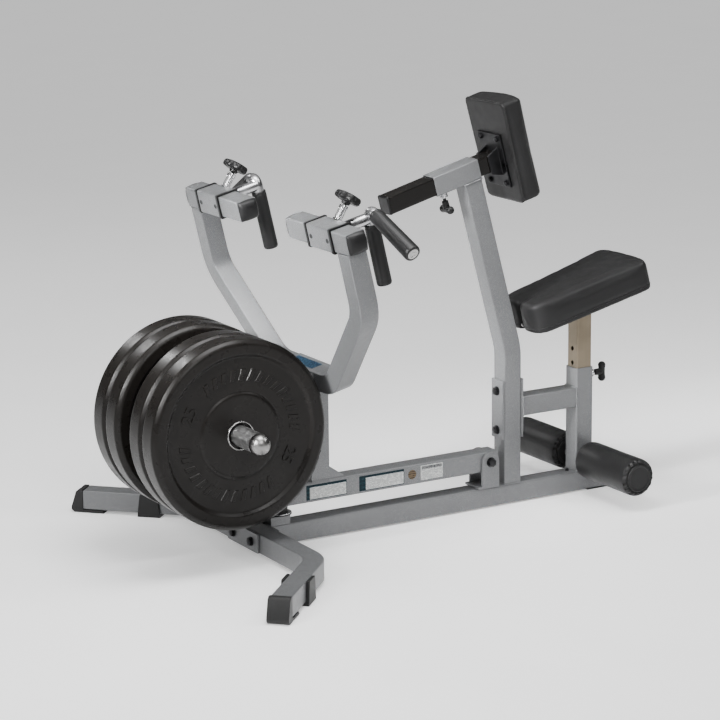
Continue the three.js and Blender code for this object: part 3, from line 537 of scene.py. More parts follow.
def plate_profile():
    """One face of a bumper plate from the bore outwards, then the tread, then the other face."""
    half = [(25.8, 11, 0.6), (31, 11, 0.4), (31.2, 4.6, 0.3), (90, 4.2, 2), (97, 4.4, 3.0), (103, 8.6, 1.8),
            (106, 8, 2), (181, 8, 2), (184, 7.6, 1.2), (190.5, 0.6, 2.2), (193, 0, 1),
            (213, 0, 2.5), (217.5, 2.2, 2), (224.2, 9, 2.5), (225, 13, 2)]
    mirrored = [(r, PLATE_THICKNESS - h, e) for r, h, e in reversed(half)]
    both = [(r * MM, h * MM, e * MM) for r, h, e in half + mirrored]
    return eased(both, 1 * MM, 3)


def raised_bar(bm, matrix, inner, outer, angle, half_angle, slant, height):
    """A slanted, softened block that stands on the web between two radii."""
    top, base = [], []
    middle = (inner + outer) / 2
    for r, sign in ((inner, -1), (inner, 1), (outer, 1), (outer, -1)):
        lean = slant * (1 if r == outer else -1)
        for store, width, length, z in ((base, 1.0, 1.0, WEB_Z + 0.5 * MM), (top, 0.72, 0.93, WEB_Z - height)):
            a = angle + (sign * half_angle * width) + lean
            reach = middle + (r - middle) * length
            store.append(bm.verts.new(matrix @ Vector((reach * math.cos(a), reach * math.sin(a), z))))
    bm.faces.new(top)
    bm.faces.new(list(reversed(base)))
    band(bm, base, top)


def numeral(bm, matrix, text, radius, angle, size, height):
    """Raised figures on the web, upright at the given clock angle."""
    curve = bpy.data.curves.new("figures", "FONT")
    curve.body = text
    curve.size = size
    curve.extrude = height / 2
    curve.bevel_depth = 0.4 * MM
    curve.bevel_resolution = 1
    curve.offset = -0.2 * MM
    curve.align_x = "CENTER"
    curve.align_y = "CENTER"
    curve.resolution_u = 4
    text_object = bpy.data.objects.new("figures", curve)
    mesh = bpy.data.meshes.new_from_object(text_object)
    flip = Matrix.Rotation(math.pi, 4, "Y")
    place = matrix @ Matrix.Rotation(angle, 4, "Z") @ Matrix.Translation((radius, 0, WEB_Z - height / 2)) @ \
        Matrix.Rotation(-math.pi / 2, 4, "Z") @ flip
    mesh.transform(place)
    bm.from_mesh(mesh)
    bpy.data.objects.remove(text_object)
    bpy.data.curves.remove(curve)
    bpy.data.meshes.remove(mesh)


BAR_ROWS = ((-63, 14), (116, 13))       # middle angle in degrees and number of bars
BAR_PITCH = 9.6
FIGURE_ANGLES = (-154, 27)
RELIEF = 2.2 * MM


def weight_plate(side, s, which):
    """A bumper plate: height 0 of its profile is the outward face, and heights run inwards."""
    node = f"{which}_plate_{side}"
    low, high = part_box(node)
    face_y = high.y if s > 0 else low.y
    centre = ((low.x + high.x) / 2, face_y, (low.z + high.z) / 2)
    matrix = axis_matrix(centre, (0, -s, 0))
    bm = bmesh.new()
    revolve(bm, plate_profile(), matrix, 128, loop=True)
    if which == "outer":
        for middle, number in BAR_ROWS:
            for i in range(number):
                angle = rad(middle + (i - (number - 1) / 2) * BAR_PITCH)
                raised_bar(bm, matrix, 129 * MM, 156 * MM, angle, rad(2.5), rad(1.6), RELIEF)
        for angle in FIGURE_ANGLES:
            numeral(bm, matrix, "25", 141 * MM, rad(angle), 42 * MM, RELIEF)
    put(node + "_skin", bm, PLATE_RUBBER, BODY_OF[node], (node,), sharp=38)


for side, s in SIDES:
    for which in ("inner", "outer"):
        weight_plate(side, s, which)
    low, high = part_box(f"outer_plate_{side}")
    centre_x, centre_z = (low.x + high.x) / 2, (low.z + high.z) / 2
    face_y = high.y if s > 0 else low.y
    ring = eased([(31.0 * MM, 11 * MM), (31.0 * MM, 3.2 * MM, 0.6 * MM), (32.0 * MM, 2.2 * MM, 1 * MM),
                  (33.6 * MM, 2.2 * MM, 1.2 * MM), (34.6 * MM, 4.8 * MM, 1 * MM), (34.6 * MM, 11 * MM)], 1 * MM)
    turned(f"hub_ring_{side}", ring, axis_matrix((centre_x, face_y, centre_z), (0, -s, 0)), POLISHED,
           f"plates_{side}", segments=72, loop=True)
    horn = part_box(f"weight_horn_{side}")
    tip = horn[1].y if s > 0 else -horn[0].y
    along = axis_matrix((centre_x, 0, centre_z), (0, s, 0))
    shaft = eased([(20 * MM, tip - 45 * MM), (20 * MM, 0.0255), (36 * MM, 0.0255), (36 * MM, 0.0295, 0.5 * MM),
                   (HORN_RADIUS, 0.0297, 0.5 * MM), (HORN_RADIUS, tip - 34 * MM), (23.4 * MM, tip - 30 * MM)],
                  0.6 * MM)
    turned(f"horn_shaft_{side}", shaft, along, ZINC, "lever", (f"weight_horn_{side}",), segments=72)
    dome = [(22 * MM, tip - 33.5 * MM), (24.4 * MM, tip - 33 * MM), (DOME_RADIUS, tip - 31 * MM)]
    dome += [(DOME_RADIUS * math.cos(rad(a)), tip - DOME_RADIUS + DOME_RADIUS * math.sin(rad(a)))
             for a in range(0, 90, 6)]
    dome += [(0, tip)]
    turned(f"horn_dome_{side}", dome, along, DOME_STEEL, "lever", segments=72)

# ---- handles
GRIP_FALL = rad(28)
APEX = Vector((0.110, 0, 0.028))
DOWN = Vector((0, 0, -1))
TUBE_RADIUS = 14 * MM
STUB_Z = 3 * MM
SLEEVE_HALF = 28.25 * MM
PIN_AXIS = Vector((math.sqrt(0.5), 0, math.sqrt(0.5)))


def tee_knob(name, matrix, pin_length, bar, body, node):
    """A T-handle on a pin: the matrix's Z axis points out of the barrel and Y along the bar."""
    bm = bmesh.new()
    revolve(bm, eased([(0, 0), (4 * MM, 0), (4 * MM, pin_length - 0.014), (8.0 * MM, pin_length - 0.0135, 1.5 * MM),
                       (9.0 * MM, pin_length + 0.004, 2 * MM), (7 * MM, pin_length + 0.008)], 0.5 * MM), matrix, 32)
    half = bar / 2
    outline = [(0, -half)]
    outline += [(10 * MM * math.cos(rad(a)), -half + 10 * MM + 10 * MM * math.sin(rad(a))) for a in range(-75, 1, 15)]
    waist = [(8.6 * MM, -half * 0.3), (8.4 * MM, 0), (8.6 * MM, half * 0.3)]
    outline += waist + [(r, -h) for r, h in reversed(outline)]
    along = matrix @ Matrix.Translation((0, 0, pin_length + 8.5 * MM)) @ Matrix.Rotation(-math.pi / 2, 4, "X")
    revolve(bm, outline, along, 32)
    put(name, bm, PLASTIC, body, (node,))


def barrel(name, matrix, length, body):
    """The bright threaded housing round a lock pin."""
    radius, bore, pitch, threaded = 9.3 * MM, 4.7 * MM, 1.5 * MM, length * 0.55
    points = [(bore, 0), (radius + 1.6 * MM, 0), (radius + 1.6 * MM, 4 * MM, 0.6 * MM), (radius, 4.6 * MM, 0.6 * MM)]
    for i in range(int(threaded / pitch)):
        h = 6 * MM + i * pitch
        points += [(radius, h, 0.2 * MM), (radius + 0.55 * MM, h + pitch / 2, 0.2 * MM)]
    points += [(radius, threaded + 7 * MM, 0.4 * MM), (radius + 1.3 * MM, threaded + 7.6 * MM, 0.5 * MM),
               (radius + 1.3 * MM, length - 0.6 * MM, 0.8 * MM), (radius - 1 * MM, length + 0.2 * MM, 0.5 * MM),
               (bore, length + 0.2 * MM)]
    turned(name, eased(points, 0.3 * MM, 2), matrix, CHROME, body, segments=36, loop=True)


def handle_route(outward):
    """The bent tube's centre line, from the upright stub round the apex to the outward stub."""
    reach = 17 * MM * math.tan((math.pi / 2 + GRIP_FALL) / 2)
    start, end = APEX + DOWN * reach, APEX + outward * reach
    control = APEX * 0.82 + (start + end) / 2 * 0.18
    bend = [start * (1 - t) ** 2 + control * 2 * t * (1 - t) + end * t ** 2 for t in (k / 16 for k in range(17))]
    return [APEX + DOWN * 0.181] + bend + [APEX + outward * 0.178]


def grip(side, kind, place, length, end, rim, cap_material):
    """A rubber grip with a collar at its root, a rolled end and a separate end cap."""
    profile = [(14.3 * MM, 0), (16.6 * MM, 0, 0.8 * MM), (17.6 * MM, 1.4 * MM, 1 * MM), (17.6 * MM, 5 * MM, 1 * MM),
               (17.2 * MM, 6.4 * MM, 0.8 * MM), (18.0 * MM, 8 * MM, 2 * MM), (end, length - 5 * MM, 2.5 * MM),
               (end - 1.6 * MM, length - 0.4 * MM, 2 * MM), (rim + 0.2 * MM, length, 0.6 * MM),
               (rim, length - 2.5 * MM)]
    node = f"{kind}_grip_{side}"
    turned(node + "_skin", eased(profile, 1 * MM), place, GRIP_RUBBER, f"handle_{side}", (node,), 48)
    cap = eased([(rim, length - 2.4 * MM), (rim - 0.1 * MM, length - 0.4 * MM, 0.6 * MM),
                 (8.4 * MM, length - 0.2 * MM, 0.6 * MM), (7.6 * MM, length - 1.6 * MM, 0.5 * MM),
                 (5.4 * MM, length - 1.6 * MM, 0.5 * MM), (5.0 * MM, length - 1.0 * MM, 0.3 * MM),
                 (0, length - 0.9 * MM)], 0.6 * MM, 4)
    turned(f"{kind}_grip_end_{side}", cap, place, cap_material, f"handle_{side}", segments=48)


def lobes(r, h, angle):
    """Seven finger hollows round a star knob's rim."""
    wave = 0.5 + 0.5 * math.cos(7 * angle)
    depth = min(1, max(0, (r - 18 * MM) / (10 * MM)))
    return r - 4.4 * MM * depth * (1 - wave) ** 1.3, h


def star_knob(side, place):
    """A seven-lobed knob on a stem, which stands for the handle's lock pin."""
    bm = bmesh.new()
    stem = [(0, 0), (4 * MM, 0), (4 * MM, 38 * MM), (9.5 * MM, 38.5 * MM, 1 * MM), (12 * MM, 46 * MM)]
    revolve(bm, eased(stem, 0.4 * MM), place, 32)
    head = eased([(8 * MM, 44.5 * MM), (24 * MM, 44.8 * MM, 3 * MM), (31.6 * MM, 47 * MM, 5 * MM),
                  (32.5 * MM, 55 * MM, 5 * MM), (30 * MM, 62 * MM, 5 * MM), (19 * MM, 64.0 * MM, 3 * MM),
                  (15 * MM, 61.8 * MM, 1.5 * MM), (0, 61.8 * MM)], 3 * MM, 5)
    revolve(bm, head, place, 112, lobes)
    put(f"lock_knob_{side}", bm, PLASTIC, f"handle_pin_{side}", (f"handle_lock_pin_{side}",), 55)


for side, s in SIDES:
    body = f"handle_{side}"
    slide = HANDLES @ Matrix.Translation((0, s * HANDLE_Y, 0))
    outward = Vector((0, s * math.cos(GRIP_FALL), -math.sin(GRIP_FALL)))
    bm = bmesh.new()
    sweep(bm, [slide @ p for p in handle_route(outward)], TUBE_RADIUS, 32)
    sweep(bm, [slide @ Vector((x, 0, STUB_Z)) for x in (0.0286, 0.06, 0.108)], TUBE_RADIUS, 32)
    collar = [Vector((0.0292, 14.5 * MM * math.cos(a), STUB_Z + 14.5 * MM * math.sin(a)))
              for a in (2 * math.pi * k / 60 for k in range(60))]
    sweep(bm, [slide @ p for p in collar], 1.8 * MM, 6, True, lambda i: 1 + 0.15 * math.sin(i * 1.6))
    put(f"handle_tube_{side}_skin", bm, SATIN_CHROME, body, (f"handle_tube_{side}",))
    grip(side, "upright", slide @ axis_matrix(APEX + DOWN * 0.040, DOWN), 0.147, 18 * MM, 12.3 * MM,
         PLASTIC)
    grip(side, "outward", slide @ axis_matrix(APEX + outward * 0.030, outward), 0.154, 20 * MM, 13.7 * MM,
         POLISHED)
    edge = SLEEVE_HALF * math.sqrt(2)
    barrel(f"pin_barrel_{side}", slide @ axis_matrix(PIN_AXIS * (edge - 3.0 * MM), PIN_AXIS), 37 * MM, body)
    star_knob(side, slide @ axis_matrix(PIN_AXIS * (edge - 1.5 * MM), PIN_AXIS))


def pillow(bm, place):
    """A plug for a square tube's end: a domed face over a straight rim, closed behind."""
    n = 14
    grid = {}
    for i in range(n + 1):
        for j in range(n + 1):
            a, b = 2 * i / n - 1, 2 * j / n - 1
            pinch = (1 - 0.10 * b * b * a * a) * HALF_TUBE
            rise = (1 - abs(a) ** 2.2) * (1 - abs(b) ** 2.2)
            grid[i, j] = bm.verts.new(place @ Vector((a * pinch, b * pinch, 3 * MM + 12 * MM * rise ** 0.5)))
    for i in range(n):
        for j in range(n):
            bm.faces.new([grid[i, j], grid[i + 1, j], grid[i + 1, j + 1], grid[i, j + 1]])
    rim = [(i, 0) for i in range(n)] + [(n, j) for j in range(n)] + [(i, n) for i in range(n, 0, -1)] + \
        [(0, j) for j in range(n, 0, -1)]
    back = place.inverted()
    low = []
    for key in rim:
        p = back @ grid[key].co
        low.append(bm.verts.new(place @ Vector((p.x, p.y, 0.3 * MM))))
    band(bm, [grid[key] for key in rim], low)
    bm.faces.new(low)


for side, s in SIDES:
    for which, y, out in (("outer", 0.390, s), ("inner", 0.118, -s)):
        node = f"crossbar_plug_{which}_{side}"
        bm = bmesh.new()
        pillow(bm, HANDLES @ Matrix.Translation((0, s * y, 0)) @ Matrix.Rotation(-out * math.pi / 2, 4, "X"))
        put(node + "_skin", bm, PLASTIC, "lever", (node,), 60)

# ---- lock pins on the frame
place = axis_matrix((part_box("seat_lock_pin")[0].x, 0, SEAT_PIN_Z - FLOOR), LENGTHWISE)
tee_knob("seat_tee_knob", place @ Matrix.Rotation(math.pi / 2, 4, "Z"), 0.038, 0.052, "seat_pin", "seat_lock_pin")
barrel("seat_pin_barrel", FRAME @ axis_matrix((0.5592, 0, SEAT_PIN_Z), LENGTHWISE), 13.8 * MM, "base")
CHEST_PIN_X = -0.076
place = CHEST @ Matrix.Translation((CHEST_PIN_X, 0, -0.0232)) @ Matrix.Rotation(math.pi, 4, "X")
tee_knob("chest_tee_knob", place, 0.040, 0.050, "chest_pin", "chest_lock_pin")
barrel("chest_pin_barrel", CHEST @ axis_matrix((CHEST_PIN_X, 0, -0.0246), DOWN), 13.2 * MM, "base")

# ---- bumper and rail plug
at = FRAME @ Matrix.Translation((BUMPER_X, 0, 0))
turned("lever_bumper_skin", eased([(0, 0.0813), (0.0300, 0.0813), (0.0300, 0.0842, 1 * MM), (0.0215, 0.0850, 1 * MM),
                                   (0.0190, 0.0920, 5 * MM), (0.0205, 0.0990, 2 * MM), (0.0175, 0.1026, 2 * MM),
                                   (0, 0.1026)], 1 * MM), at, FOOT_RUBBER, "base", ("lever_bumper",))
turned("bumper_washer", eased([(0.0205, 0.0846), (0.0296, 0.0846, 0.4 * MM), (0.0296, 0.0860, 0.4 * MM),
                               (0.0205, 0.0860)], 0.5 * MM), at, CHROME, "base", loop=True)
bm = bmesh.new()
slab(bm, FRAME @ Matrix.Translation((0.6245, 0, RAIL_Z)), (0.005, 0.048, 0.048), 1.2 * MM, 3)
put("rail_end_plug", bm, PLASTIC, "base")

# ---- labels
WHITE_LABEL = paper("white_label", (0.52, 0.53, 0.52), (0.17, 0.18, 0.18), 118.0)
TEAL_LABEL = paper("teal_label", (0.003, 0.014, 0.020), (0.008, 0.03, 0.04), 30.0)
BLUE_LABEL = paper("blue_label", (0.001, 0.007, 0.020), (0.03, 0.08, 0.13), 62.0, "X")
DARK_PRINT = paper("dark_print", (0.05, 0.055, 0.06), (0.25, 0.25, 0.25), 150.0)
BADGE = paper("badge_print", (0.12, 0.085, 0.05), (0.03, 0.025, 0.02), 60.0)
LABEL_THICKNESS = 0.22 * MM
FACE_GAP = 0.05 * MM


def label(name, matrix, width, height, material, corner=1.5 * MM):
    """A thin sheet lying on the matrix's XY plane."""
    bm = bmesh.new()
    loop = rounded_square(width / 2, height / 2, corner, 1)
    low = [bm.verts.new(matrix @ p) for p in loop]
    top = [bm.verts.new(matrix @ (p + Vector((0, 0, LABEL_THICKNESS)))) for p in loop]
    bm.faces.new(top)
    bm.faces.new(list(reversed(low)))
    band(bm, low, top)
    put(name, bm, material, "lever", sharp=30)


def on_lever(x0, x1, z0, z1, lift=0.0):
    """The place, width and height of a label on the lever's near face, from its edges in millimetres."""
    middle = Vector(((x0 + x1) / 2 * MM, -HALF_TUBE - FACE_GAP - lift, (z0 + z1) / 2 * MM))
    return FRAME @ Matrix.Translation(middle) @ Matrix.Rotation(math.pi / 2, 4, "X"), (x1 - x0) * MM, (z1 - z0) * MM


UPPER_LAYER = 0.25 * MM
for name, box, material, lift in (
        ("lever_label_front_ground", (-277.5, -165.5, 109, 146), TEAL_LABEL, 0),
        ("lever_label_front", (-268, -167, 110.5, 140), WHITE_LABEL, UPPER_LAYER),
        ("lever_label_middle_ground", (-130.5, -3.5, 109, 147), TEAL_LABEL, 0),
        ("lever_label_middle", (-112, -5, 111, 141), WHITE_LABEL, UPPER_LAYER),
        ("lever_label_rear", (44.5, 108.5, 110, 148), WHITE_LABEL, 0),
        ("lever_label_rear_header", (47.5, 105.5, 138, 145), DARK_PRINT, UPPER_LAYER)):
    matrix, width, height = on_lever(*box, lift)
    label(name, matrix, width, height, material)
matrix, width, height = on_lever(8, 32, 117, 141)
label("lever_badge", matrix, width, height, BADGE, corner=11.9 * MM)
top_of_yoke = HANDLES @ Matrix.Translation((0, 0, YOKE_DOWN + HALF_TUBE + FACE_GAP))
label("yoke_label", top_of_yoke @ Matrix.Rotation(math.pi / 2, 4, "Z"), 0.114, 0.030, BLUE_LABEL)


# ---- cushions
VOXEL = 3.6 * MM
CLOTH_FRAMES = 20


def swell(piece, pressure, cap, hold):
    """Remeshes a pad and puffs it up with a short cloth run; hold(point) pins the board side."""
    remesh = piece.modifiers.new("remesh", "REMESH")
    remesh.mode = "VOXEL"
    remesh.voxel_size = VOXEL
    bake(piece)
    mesh = piece.data
    rest = [v.co.copy() for v in mesh.vertices]
    group = piece.vertex_groups.new(name="board")
    group.add([v.index for v in mesh.vertices if hold(v.co)], 1.0, "REPLACE")
    cloth = piece.modifiers.new("cloth", "CLOTH")
    settings = cloth.settings
    settings.vertex_group_mass = "board"
    settings.use_pressure = True
    settings.uniform_pressure_force = pressure
    settings.effector_weights.gravity = 0
    settings.tension_stiffness = settings.compression_stiffness = 40
    settings.bending_stiffness = 8
    settings.quality = 5
    scene = bpy.context.scene
    for number in range(1, CLOTH_FRAMES + 1):
        scene.frame_set(number)
    bake(piece)
    scene.frame_set(1)
    mesh = piece.data
    for vertex, start in zip(mesh.vertices, rest):
        move = vertex.co - start
        if move.length > cap:
            vertex.co = start + move * (cap / move.length)
    relaxed = piece.modifiers.new("relax", "SMOOTH")
    relaxed.factor = 0.5
    relaxed.iterations = 2
    rounded = piece.modifiers.new("rounded", "SUBSURF")
    rounded.levels = 1
    rounded.render_levels = 1
    bake(piece)
    for polygon in piece.data.polygons:
        polygon.use_smooth = True


def bake(piece):
    """Applies every modifier of a piece to its mesh."""
    graph = bpy.context.evaluated_depsgraph_get()
    mesh = bpy.data.meshes.new_from_object(piece.evaluated_get(graph))
    piece.modifiers.clear()
    old = piece.data
    piece.data = mesh
    bpy.data.meshes.remove(old)
    if not mesh.materials:
        mesh.materials.append(VINYL)


def seam(name, piece, points, radius, body):
    """A rolled seam laid on a cushion along the places nearest to a closed line."""
    tree = BVHTree.FromPolygons([v.co for v in piece.data.vertices], [tuple(p.vertices) for p in piece.data.polygons])
    line = [tree.find_nearest(p)[0] for p in points]
    for _ in range(2):
        line = [(line[i - 1] + line[i] * 2 + line[(i + 1) % len(line)]) / 4 for i in range(len(line))]
    bm = bmesh.new()
    sweep(bm, line, radius, 8, True, lambda i: 1 + 0.14 * math.sin(i * 2.1) * math.sin(i * 0.37))
    put(name, bm, VINYL, body, sharp=80, weighted=False)


def loft(bm, rings):
    """Skins closed rings of equal length and caps both ends."""
    skins = [[bm.verts.new(p) for p in ring] for ring in rings]
    for a, b in zip(skins, skins[1:]):
        band(bm, a, b)
    bm.faces.new(list(reversed(skins[0])))
    bm.faces.new(skins[-1])


def bezier(a, b, c, d, steps):
    return [a * (1 - t) ** 3 + b * 3 * t * (1 - t) ** 2 + c * 3 * t * t * (1 - t) + d * t ** 3
            for t in (k / steps for k in range(steps))]


def inset(points, amount):
    """A closed flat outline moved inwards along its own normals."""
    out = []
    for i, here in enumerate(points):
        along = (points[(i + 1) % len(points)] - points[i - 1]).normalized()
        out.append(here + Vector((-along.y, along.x, 0)) * amount)
    return out


def seat_outline():
    """The saddle's outline on its base plane, nose first, anticlockwise from above."""
    v = lambda x, y: Vector((x, y, 0))
    half = bezier(v(-173, 0), v(-174, 2), v(-178, 4), v(-181, 11), 5)
    half += bezier(v(-181, 11), v(-183, 18), v(-183.5, 30), v(-182, 44), 6)
    half += bezier(v(-182, 44), v(-178, 70), v(-165, 81), v(-140, 84), 9)
    half += bezier(v(-140, 84), v(-60, 89.6), v(40, 96.6), v(131, 103), 26)
    half += bezier(v(131, 103), v(173, 107), v(174, 64), v(174, 0), 20)
    mirrored = [Vector((p.x, -p.y, 0)) for p in reversed(half[1:])]
    # The list runs clockwise seen from above, so it is turned round for inset().
    return [p * MM for p in reversed(half + [v(174, 0)] + mirrored)]


SEAM_HEIGHT = 12.6
SEAT_TOP = 77.4


def seat_cushion():
    """Layers of (height, inset) from the board up, then rings that close the crowned top."""
    outline = seat_outline()
    centre = Vector((0.010, 0, 0))
    layers = [(0.0, 6.5), (0.8, 4.2), (3.0, 2.6), (8.0, 2.0), (11.0, 2.2), (SEAM_HEIGHT, 3.6), (14.4, 2.0),
              (20.0, 1.4), (45.0, 1.2), (60.0, 1.4), (66.0, 2.2), (71.5, 4.4), (75.4, 8.0), (SEAT_TOP, 12.5)]

    def lifted(point, height, crown=0.0):
        """A shallow valley runs back from the notch between the nose's two lobes."""
        valley = math.exp(-(point.y / 0.015) ** 2) * min(1.0, max(0.0, (-0.095 - point.x) / 0.075))
        top = min(1.0, max(0.0, (height - 64) / 17))
        return Vector((point.x, point.y, (height + crown - 8.0 * valley * top) * MM))
    rings = [[lifted(p, height) for p in inset(outline, amount * MM)] for height, amount in layers]
    last = inset(outline, layers[-1][1] * MM)
    for k in range(1, 10):
        scale = 1 - k / 10
        rings.append([lifted(centre + (p - centre) * scale, SEAT_TOP, 3.6 * (1 - scale ** 2)) for p in last])
    bm = bmesh.new()
    loft(bm, [[SEAT @ p for p in ring] for ring in rings])
    piece = put("seat_cushion_cover", bm, VINYL, "seat_carriage", ("seat_cushion",), weighted=False)
    back = SEAT.inverted()
    swell(piece, 2.4, 2.5 * MM, lambda p: (back @ p).z < 13 * MM)
    seam("seat_seam", piece, [SEAT @ (p + Vector((0, 0, SEAM_HEIGHT * MM))) for p in inset(outline, -2 * MM)],
         1.5 * MM, "seat_carriage")
    return piece


PAD_BACK, PAD_FACE, PAD_EDGE = 90.3, 54.6, 11.0
PAD_LOW, PAD_HIGH, PAD_HALF, PAD_TAPER = -108.0, 150.0, 83.5, 0.035


def chest_pad():
    """Side band with square corners, a lip round the back edge, a rolled front edge and a crowned face."""
    middle = Vector((0, 0, (PAD_LOW + PAD_HIGH) / 2))
    tall = (PAD_HIGH - PAD_LOW) / 2
    base = [Vector((p.x * (1 + PAD_TAPER * p.y / tall), p.y, 0)) for p in rounded_square(PAD_HALF, tall, 11, 5.0)]

    def ring_at(depth, amount, bow=0.0, scale=1.0):
        ring = []
        for p in inset(base, amount):
            q = p * scale
            crown = bow * 19 * (1 - (q.x / PAD_HALF) ** 2)
            ring.append(Vector((PAD_BACK + depth + crown, q.x, q.y)) + middle)
        return ring
    layers = [(0.0, 4.0, 0), (0.8, 1.2, 0), (3.0, 0.2, 0), (6.0, 0.2, 0), (9.0, 1.8, 0), (14, 1.0, 0), (34, 0.5, 0),
              (45, 0.9, 0.1), (50, 2.6, 0.45), (53.0, 6.0, 0.8), (PAD_FACE, PAD_EDGE, 1.0)]
    rings = [ring_at(*layer) for layer in layers]
    for k in range(1, 9):
        rings.append(ring_at(PAD_FACE + 0.8 * (1 - (1 - k / 9) ** 2), PAD_EDGE, 1.0, 1 - k / 9))
    bm = bmesh.new()
    loft(bm, [[CHEST @ (p * MM) for p in ring] for ring in rings])
    piece = put("chest_pad_cover", bm, VINYL, "chest_carriage", ("chest_pad",), weighted=False)
    back = CHEST.inverted()
    swell(piece, 3.0, 3 * MM, lambda p: (back @ p).x < (PAD_BACK + 5) * MM)
    seam("pad_seam", piece, [CHEST @ (p * MM) for p in ring_at(4.0, -2.0)], 1.9 * MM, "chest_carriage")
    return piece


seat_cushion()
chest_pad()

# A bright screw at the bottom of the nose's notch.
turned("seat_nose_screw", eased([(0, 0), (4.5 * MM, 0), (4.5 * MM, 1.2 * MM, 0.5 * MM), (2.5 * MM, 2.6 * MM, 1 * MM),
                                 (0, 2.8 * MM)], 0.6 * MM),
       SEAT @ axis_matrix((-0.1755, 0, 0.014), (-1, 0, 0)), POLISHED, "seat_carriage", segments=24)


# ---- foam rollers
ROLLER_END = [(0, 2.0), (14, 2.0), (28, 2.2), (30.5, 0.6), (33.2, 0.8), (34.6, 4.6), (36.4, 4.8), (39.5, 2.0),
              (43.6, 4.4), (46.2, 9.0), (47.2, 14.0), (47.7, 22.0)]
PLEATS = 17


def foam_roller(side, s):
    """A foam roller in a vinyl sleeve, gathered into pleats round both ends."""
    node = f"foam_roller_{side}"
    low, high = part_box(node)
    inner, outer = (low.y, high.y) if s > 0 else (-high.y, -low.y)
    place = axis_matrix(((low.x + high.x) / 2, 0, (low.z + high.z) / 2), (0, s, 0))
    profile = [(r * MM, inner + h * MM, 2.5 * MM) for r, h in ROLLER_END]
    profile += [(47.6 * MM, inner + (outer - inner) * t, 2 * MM) for t in (0.25, 0.5, 0.75)]
    profile += [(r * MM, outer - h * MM, 2.5 * MM) for r, h in reversed(ROLLER_END)]

    def gather(r, h, angle):
        near = min(h - inner, outer - h)
        zone = max(0.0, 1 - abs(near / MM - 6.5) / 13.0)
        ring = 1.0 if 35.5 * MM < r < 46 * MM else 0.0
        crease = abs(math.sin(PLEATS / 2 * angle + 0.55 * math.sin(3 * angle) + 0.3 * math.sin(7 * angle)))
        depth = (4.6 + 1.2 * math.sin(4 * angle)) * MM * zone * ring * (1 - crease) ** 1.2
        wobble = 0.0
        if r > 40 * MM:
            wobble = 0.35 * MM * noise.noise(Vector((math.cos(angle) * 3, math.sin(angle) * 3, h * 30)))
        lift = depth * 0.8 if near < 20 * MM else 0
        return r - depth * 0.7 + wobble, h + (lift if h < (inner + outer) / 2 else -lift)
    piece = turned(f"roller_cover_{side}", eased(profile, 2 * MM, 3), place, VINYL, BODY_OF[node], (node,),
                   208, 70, gather)


for side, s in SIDES:
    foam_roller(side, s)

# ---- floor, light and camera
floor_shader = Shader("pale_floor", (0.88, 0.88, 0.88), 0.7, Emission_Color=(1, 1, 1, 1), Emission_Strength=0.36)
floor_shader.tint(floor_shader.ramp(floor_shader.noise(3.0, 3), 0.3, 0.8), (0.84, 0.84, 0.845))
bm = bmesh.new()
bmesh.ops.create_grid(bm, x_segments=8, y_segments=8, size=30)
mesh = bpy.data.meshes.new("floor")
bm.to_mesh(mesh)
bm.free()
mesh.materials.append(floor_shader.material)
floor = bpy.data.objects.new("floor", mesh)
floor.location = (0, 0, -0.5 * MM)
bpy.context.collection.objects.link(floor)
floor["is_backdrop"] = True

world = bpy.data.worlds.new("studio")
world.use_nodes = True
sky = world.node_tree
backdrop = sky.nodes["Background"]
backdrop.inputs["Color"].default_value = (1, 1, 1, 1)
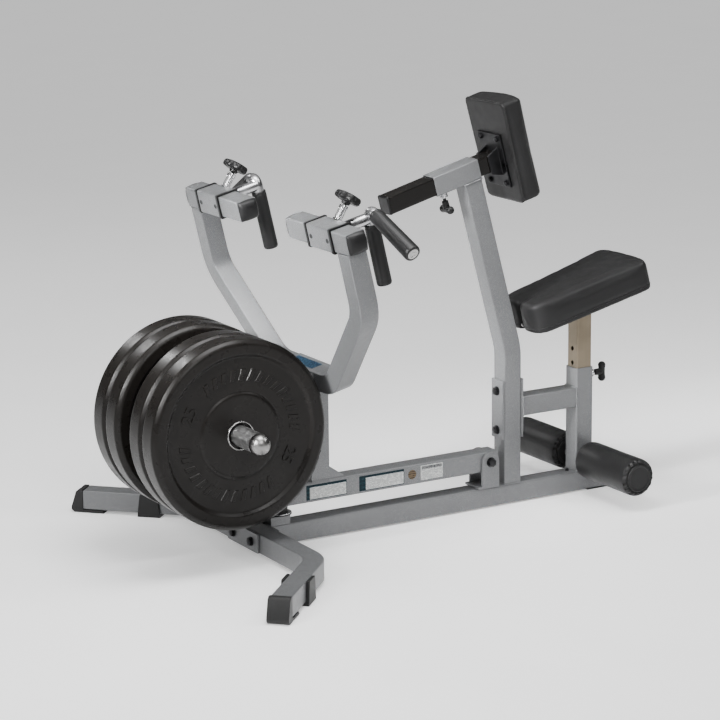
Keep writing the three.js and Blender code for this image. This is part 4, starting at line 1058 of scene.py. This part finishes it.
# The sky is bright overhead and dim at the horizon.
ways = sky.nodes.new("ShaderNodeTexCoord")
split = sky.nodes.new("ShaderNodeSeparateXYZ")
rise = sky.nodes.new("ShaderNodeMapRange")
for key, number in (("From Min", 0.4), ("From Max", 0.95), ("To Min", 0.12), ("To Max", 0.75)):
    rise.inputs[key].default_value = number
sky.links.new(ways.outputs["Generated"], split.inputs["Vector"])
sky.links.new(split.outputs["Z"], rise.inputs["Value"])
sky.links.new(rise.outputs["Result"], backdrop.inputs["Strength"])
bpy.context.scene.world = world


def area_light(name, place, target, size, power, spread=180):
    """A rectangular light aimed at a target: size in metres, power in watts, spread in degrees."""
    light = bpy.data.lights.new(name, "AREA")
    light.shape = "RECTANGLE"
    light.size, light.size_y = size
    light.energy = power
    light.spread = rad(spread)
    made = bpy.data.objects.new(name, light)
    made.location = place
    made.rotation_euler = (Vector(target) - Vector(place)).to_track_quat("-Z", "Y").to_euler()
    bpy.context.collection.objects.link(made)


area_light("key", (-1.0, -3.1, 2.6), (-0.1, 0, 0.9), (1.5, 1.5), 54)
area_light("left", (-3.0, -1.1, 1.9), (-0.4, 0, 0.8), (1.2, 1.2), 66)
area_light("front", (-1.9, -0.35, 1.25), (-0.35, 0, 0.69), (0.6, 0.5), 7, spread=30)
area_light("overhead", (-0.4, -0.5, 2.3), (-0.35, 0, 0.5), (1.2, 0.9), 54)
area_light("back", (-1.0, 3.8, 2.7), (-0.2, 0, 0.5), (0.5, 0.5), 30)
area_light("right", (1.9, -1.4, 3.0), (0, 0, 0.3), (0.5, 1.2), 38)

# The camera was solved from points on the machine: its place and axes in the working frame.
FOCAL_PIXELS, PHOTO_PIXELS, SENSOR = 2619.8, 720, 36
CAMERA_PLACE = (-3.20997, -5.29505, 1.87553)
FORWARD = Vector((0.49178359, 0.83994146, -0.22944987))
RIGHT = Vector((0.86158159, -0.50749687, -0.01113959))
ABOVE = Vector((0.1258017, 0.19221151, 0.97325673))
camera = bpy.data.cameras.new("camera")
camera.sensor_width = SENSOR
camera.lens = FOCAL_PIXELS / PHOTO_PIXELS * SENSOR
camera.clip_end = 100
eye = bpy.data.objects.new("camera", camera)
eye.matrix_world = FRAME @ Matrix.Translation(CAMERA_PLACE) @ Matrix((RIGHT, ABOVE, -FORWARD)).transposed().to_4x4()
bpy.context.collection.objects.link(eye)
bpy.context.scene.camera = eye

bpy.context.view_layer.update()
{"cad": [list(v) for v in CAD_BOX], "visual": [list(v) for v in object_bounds()]}
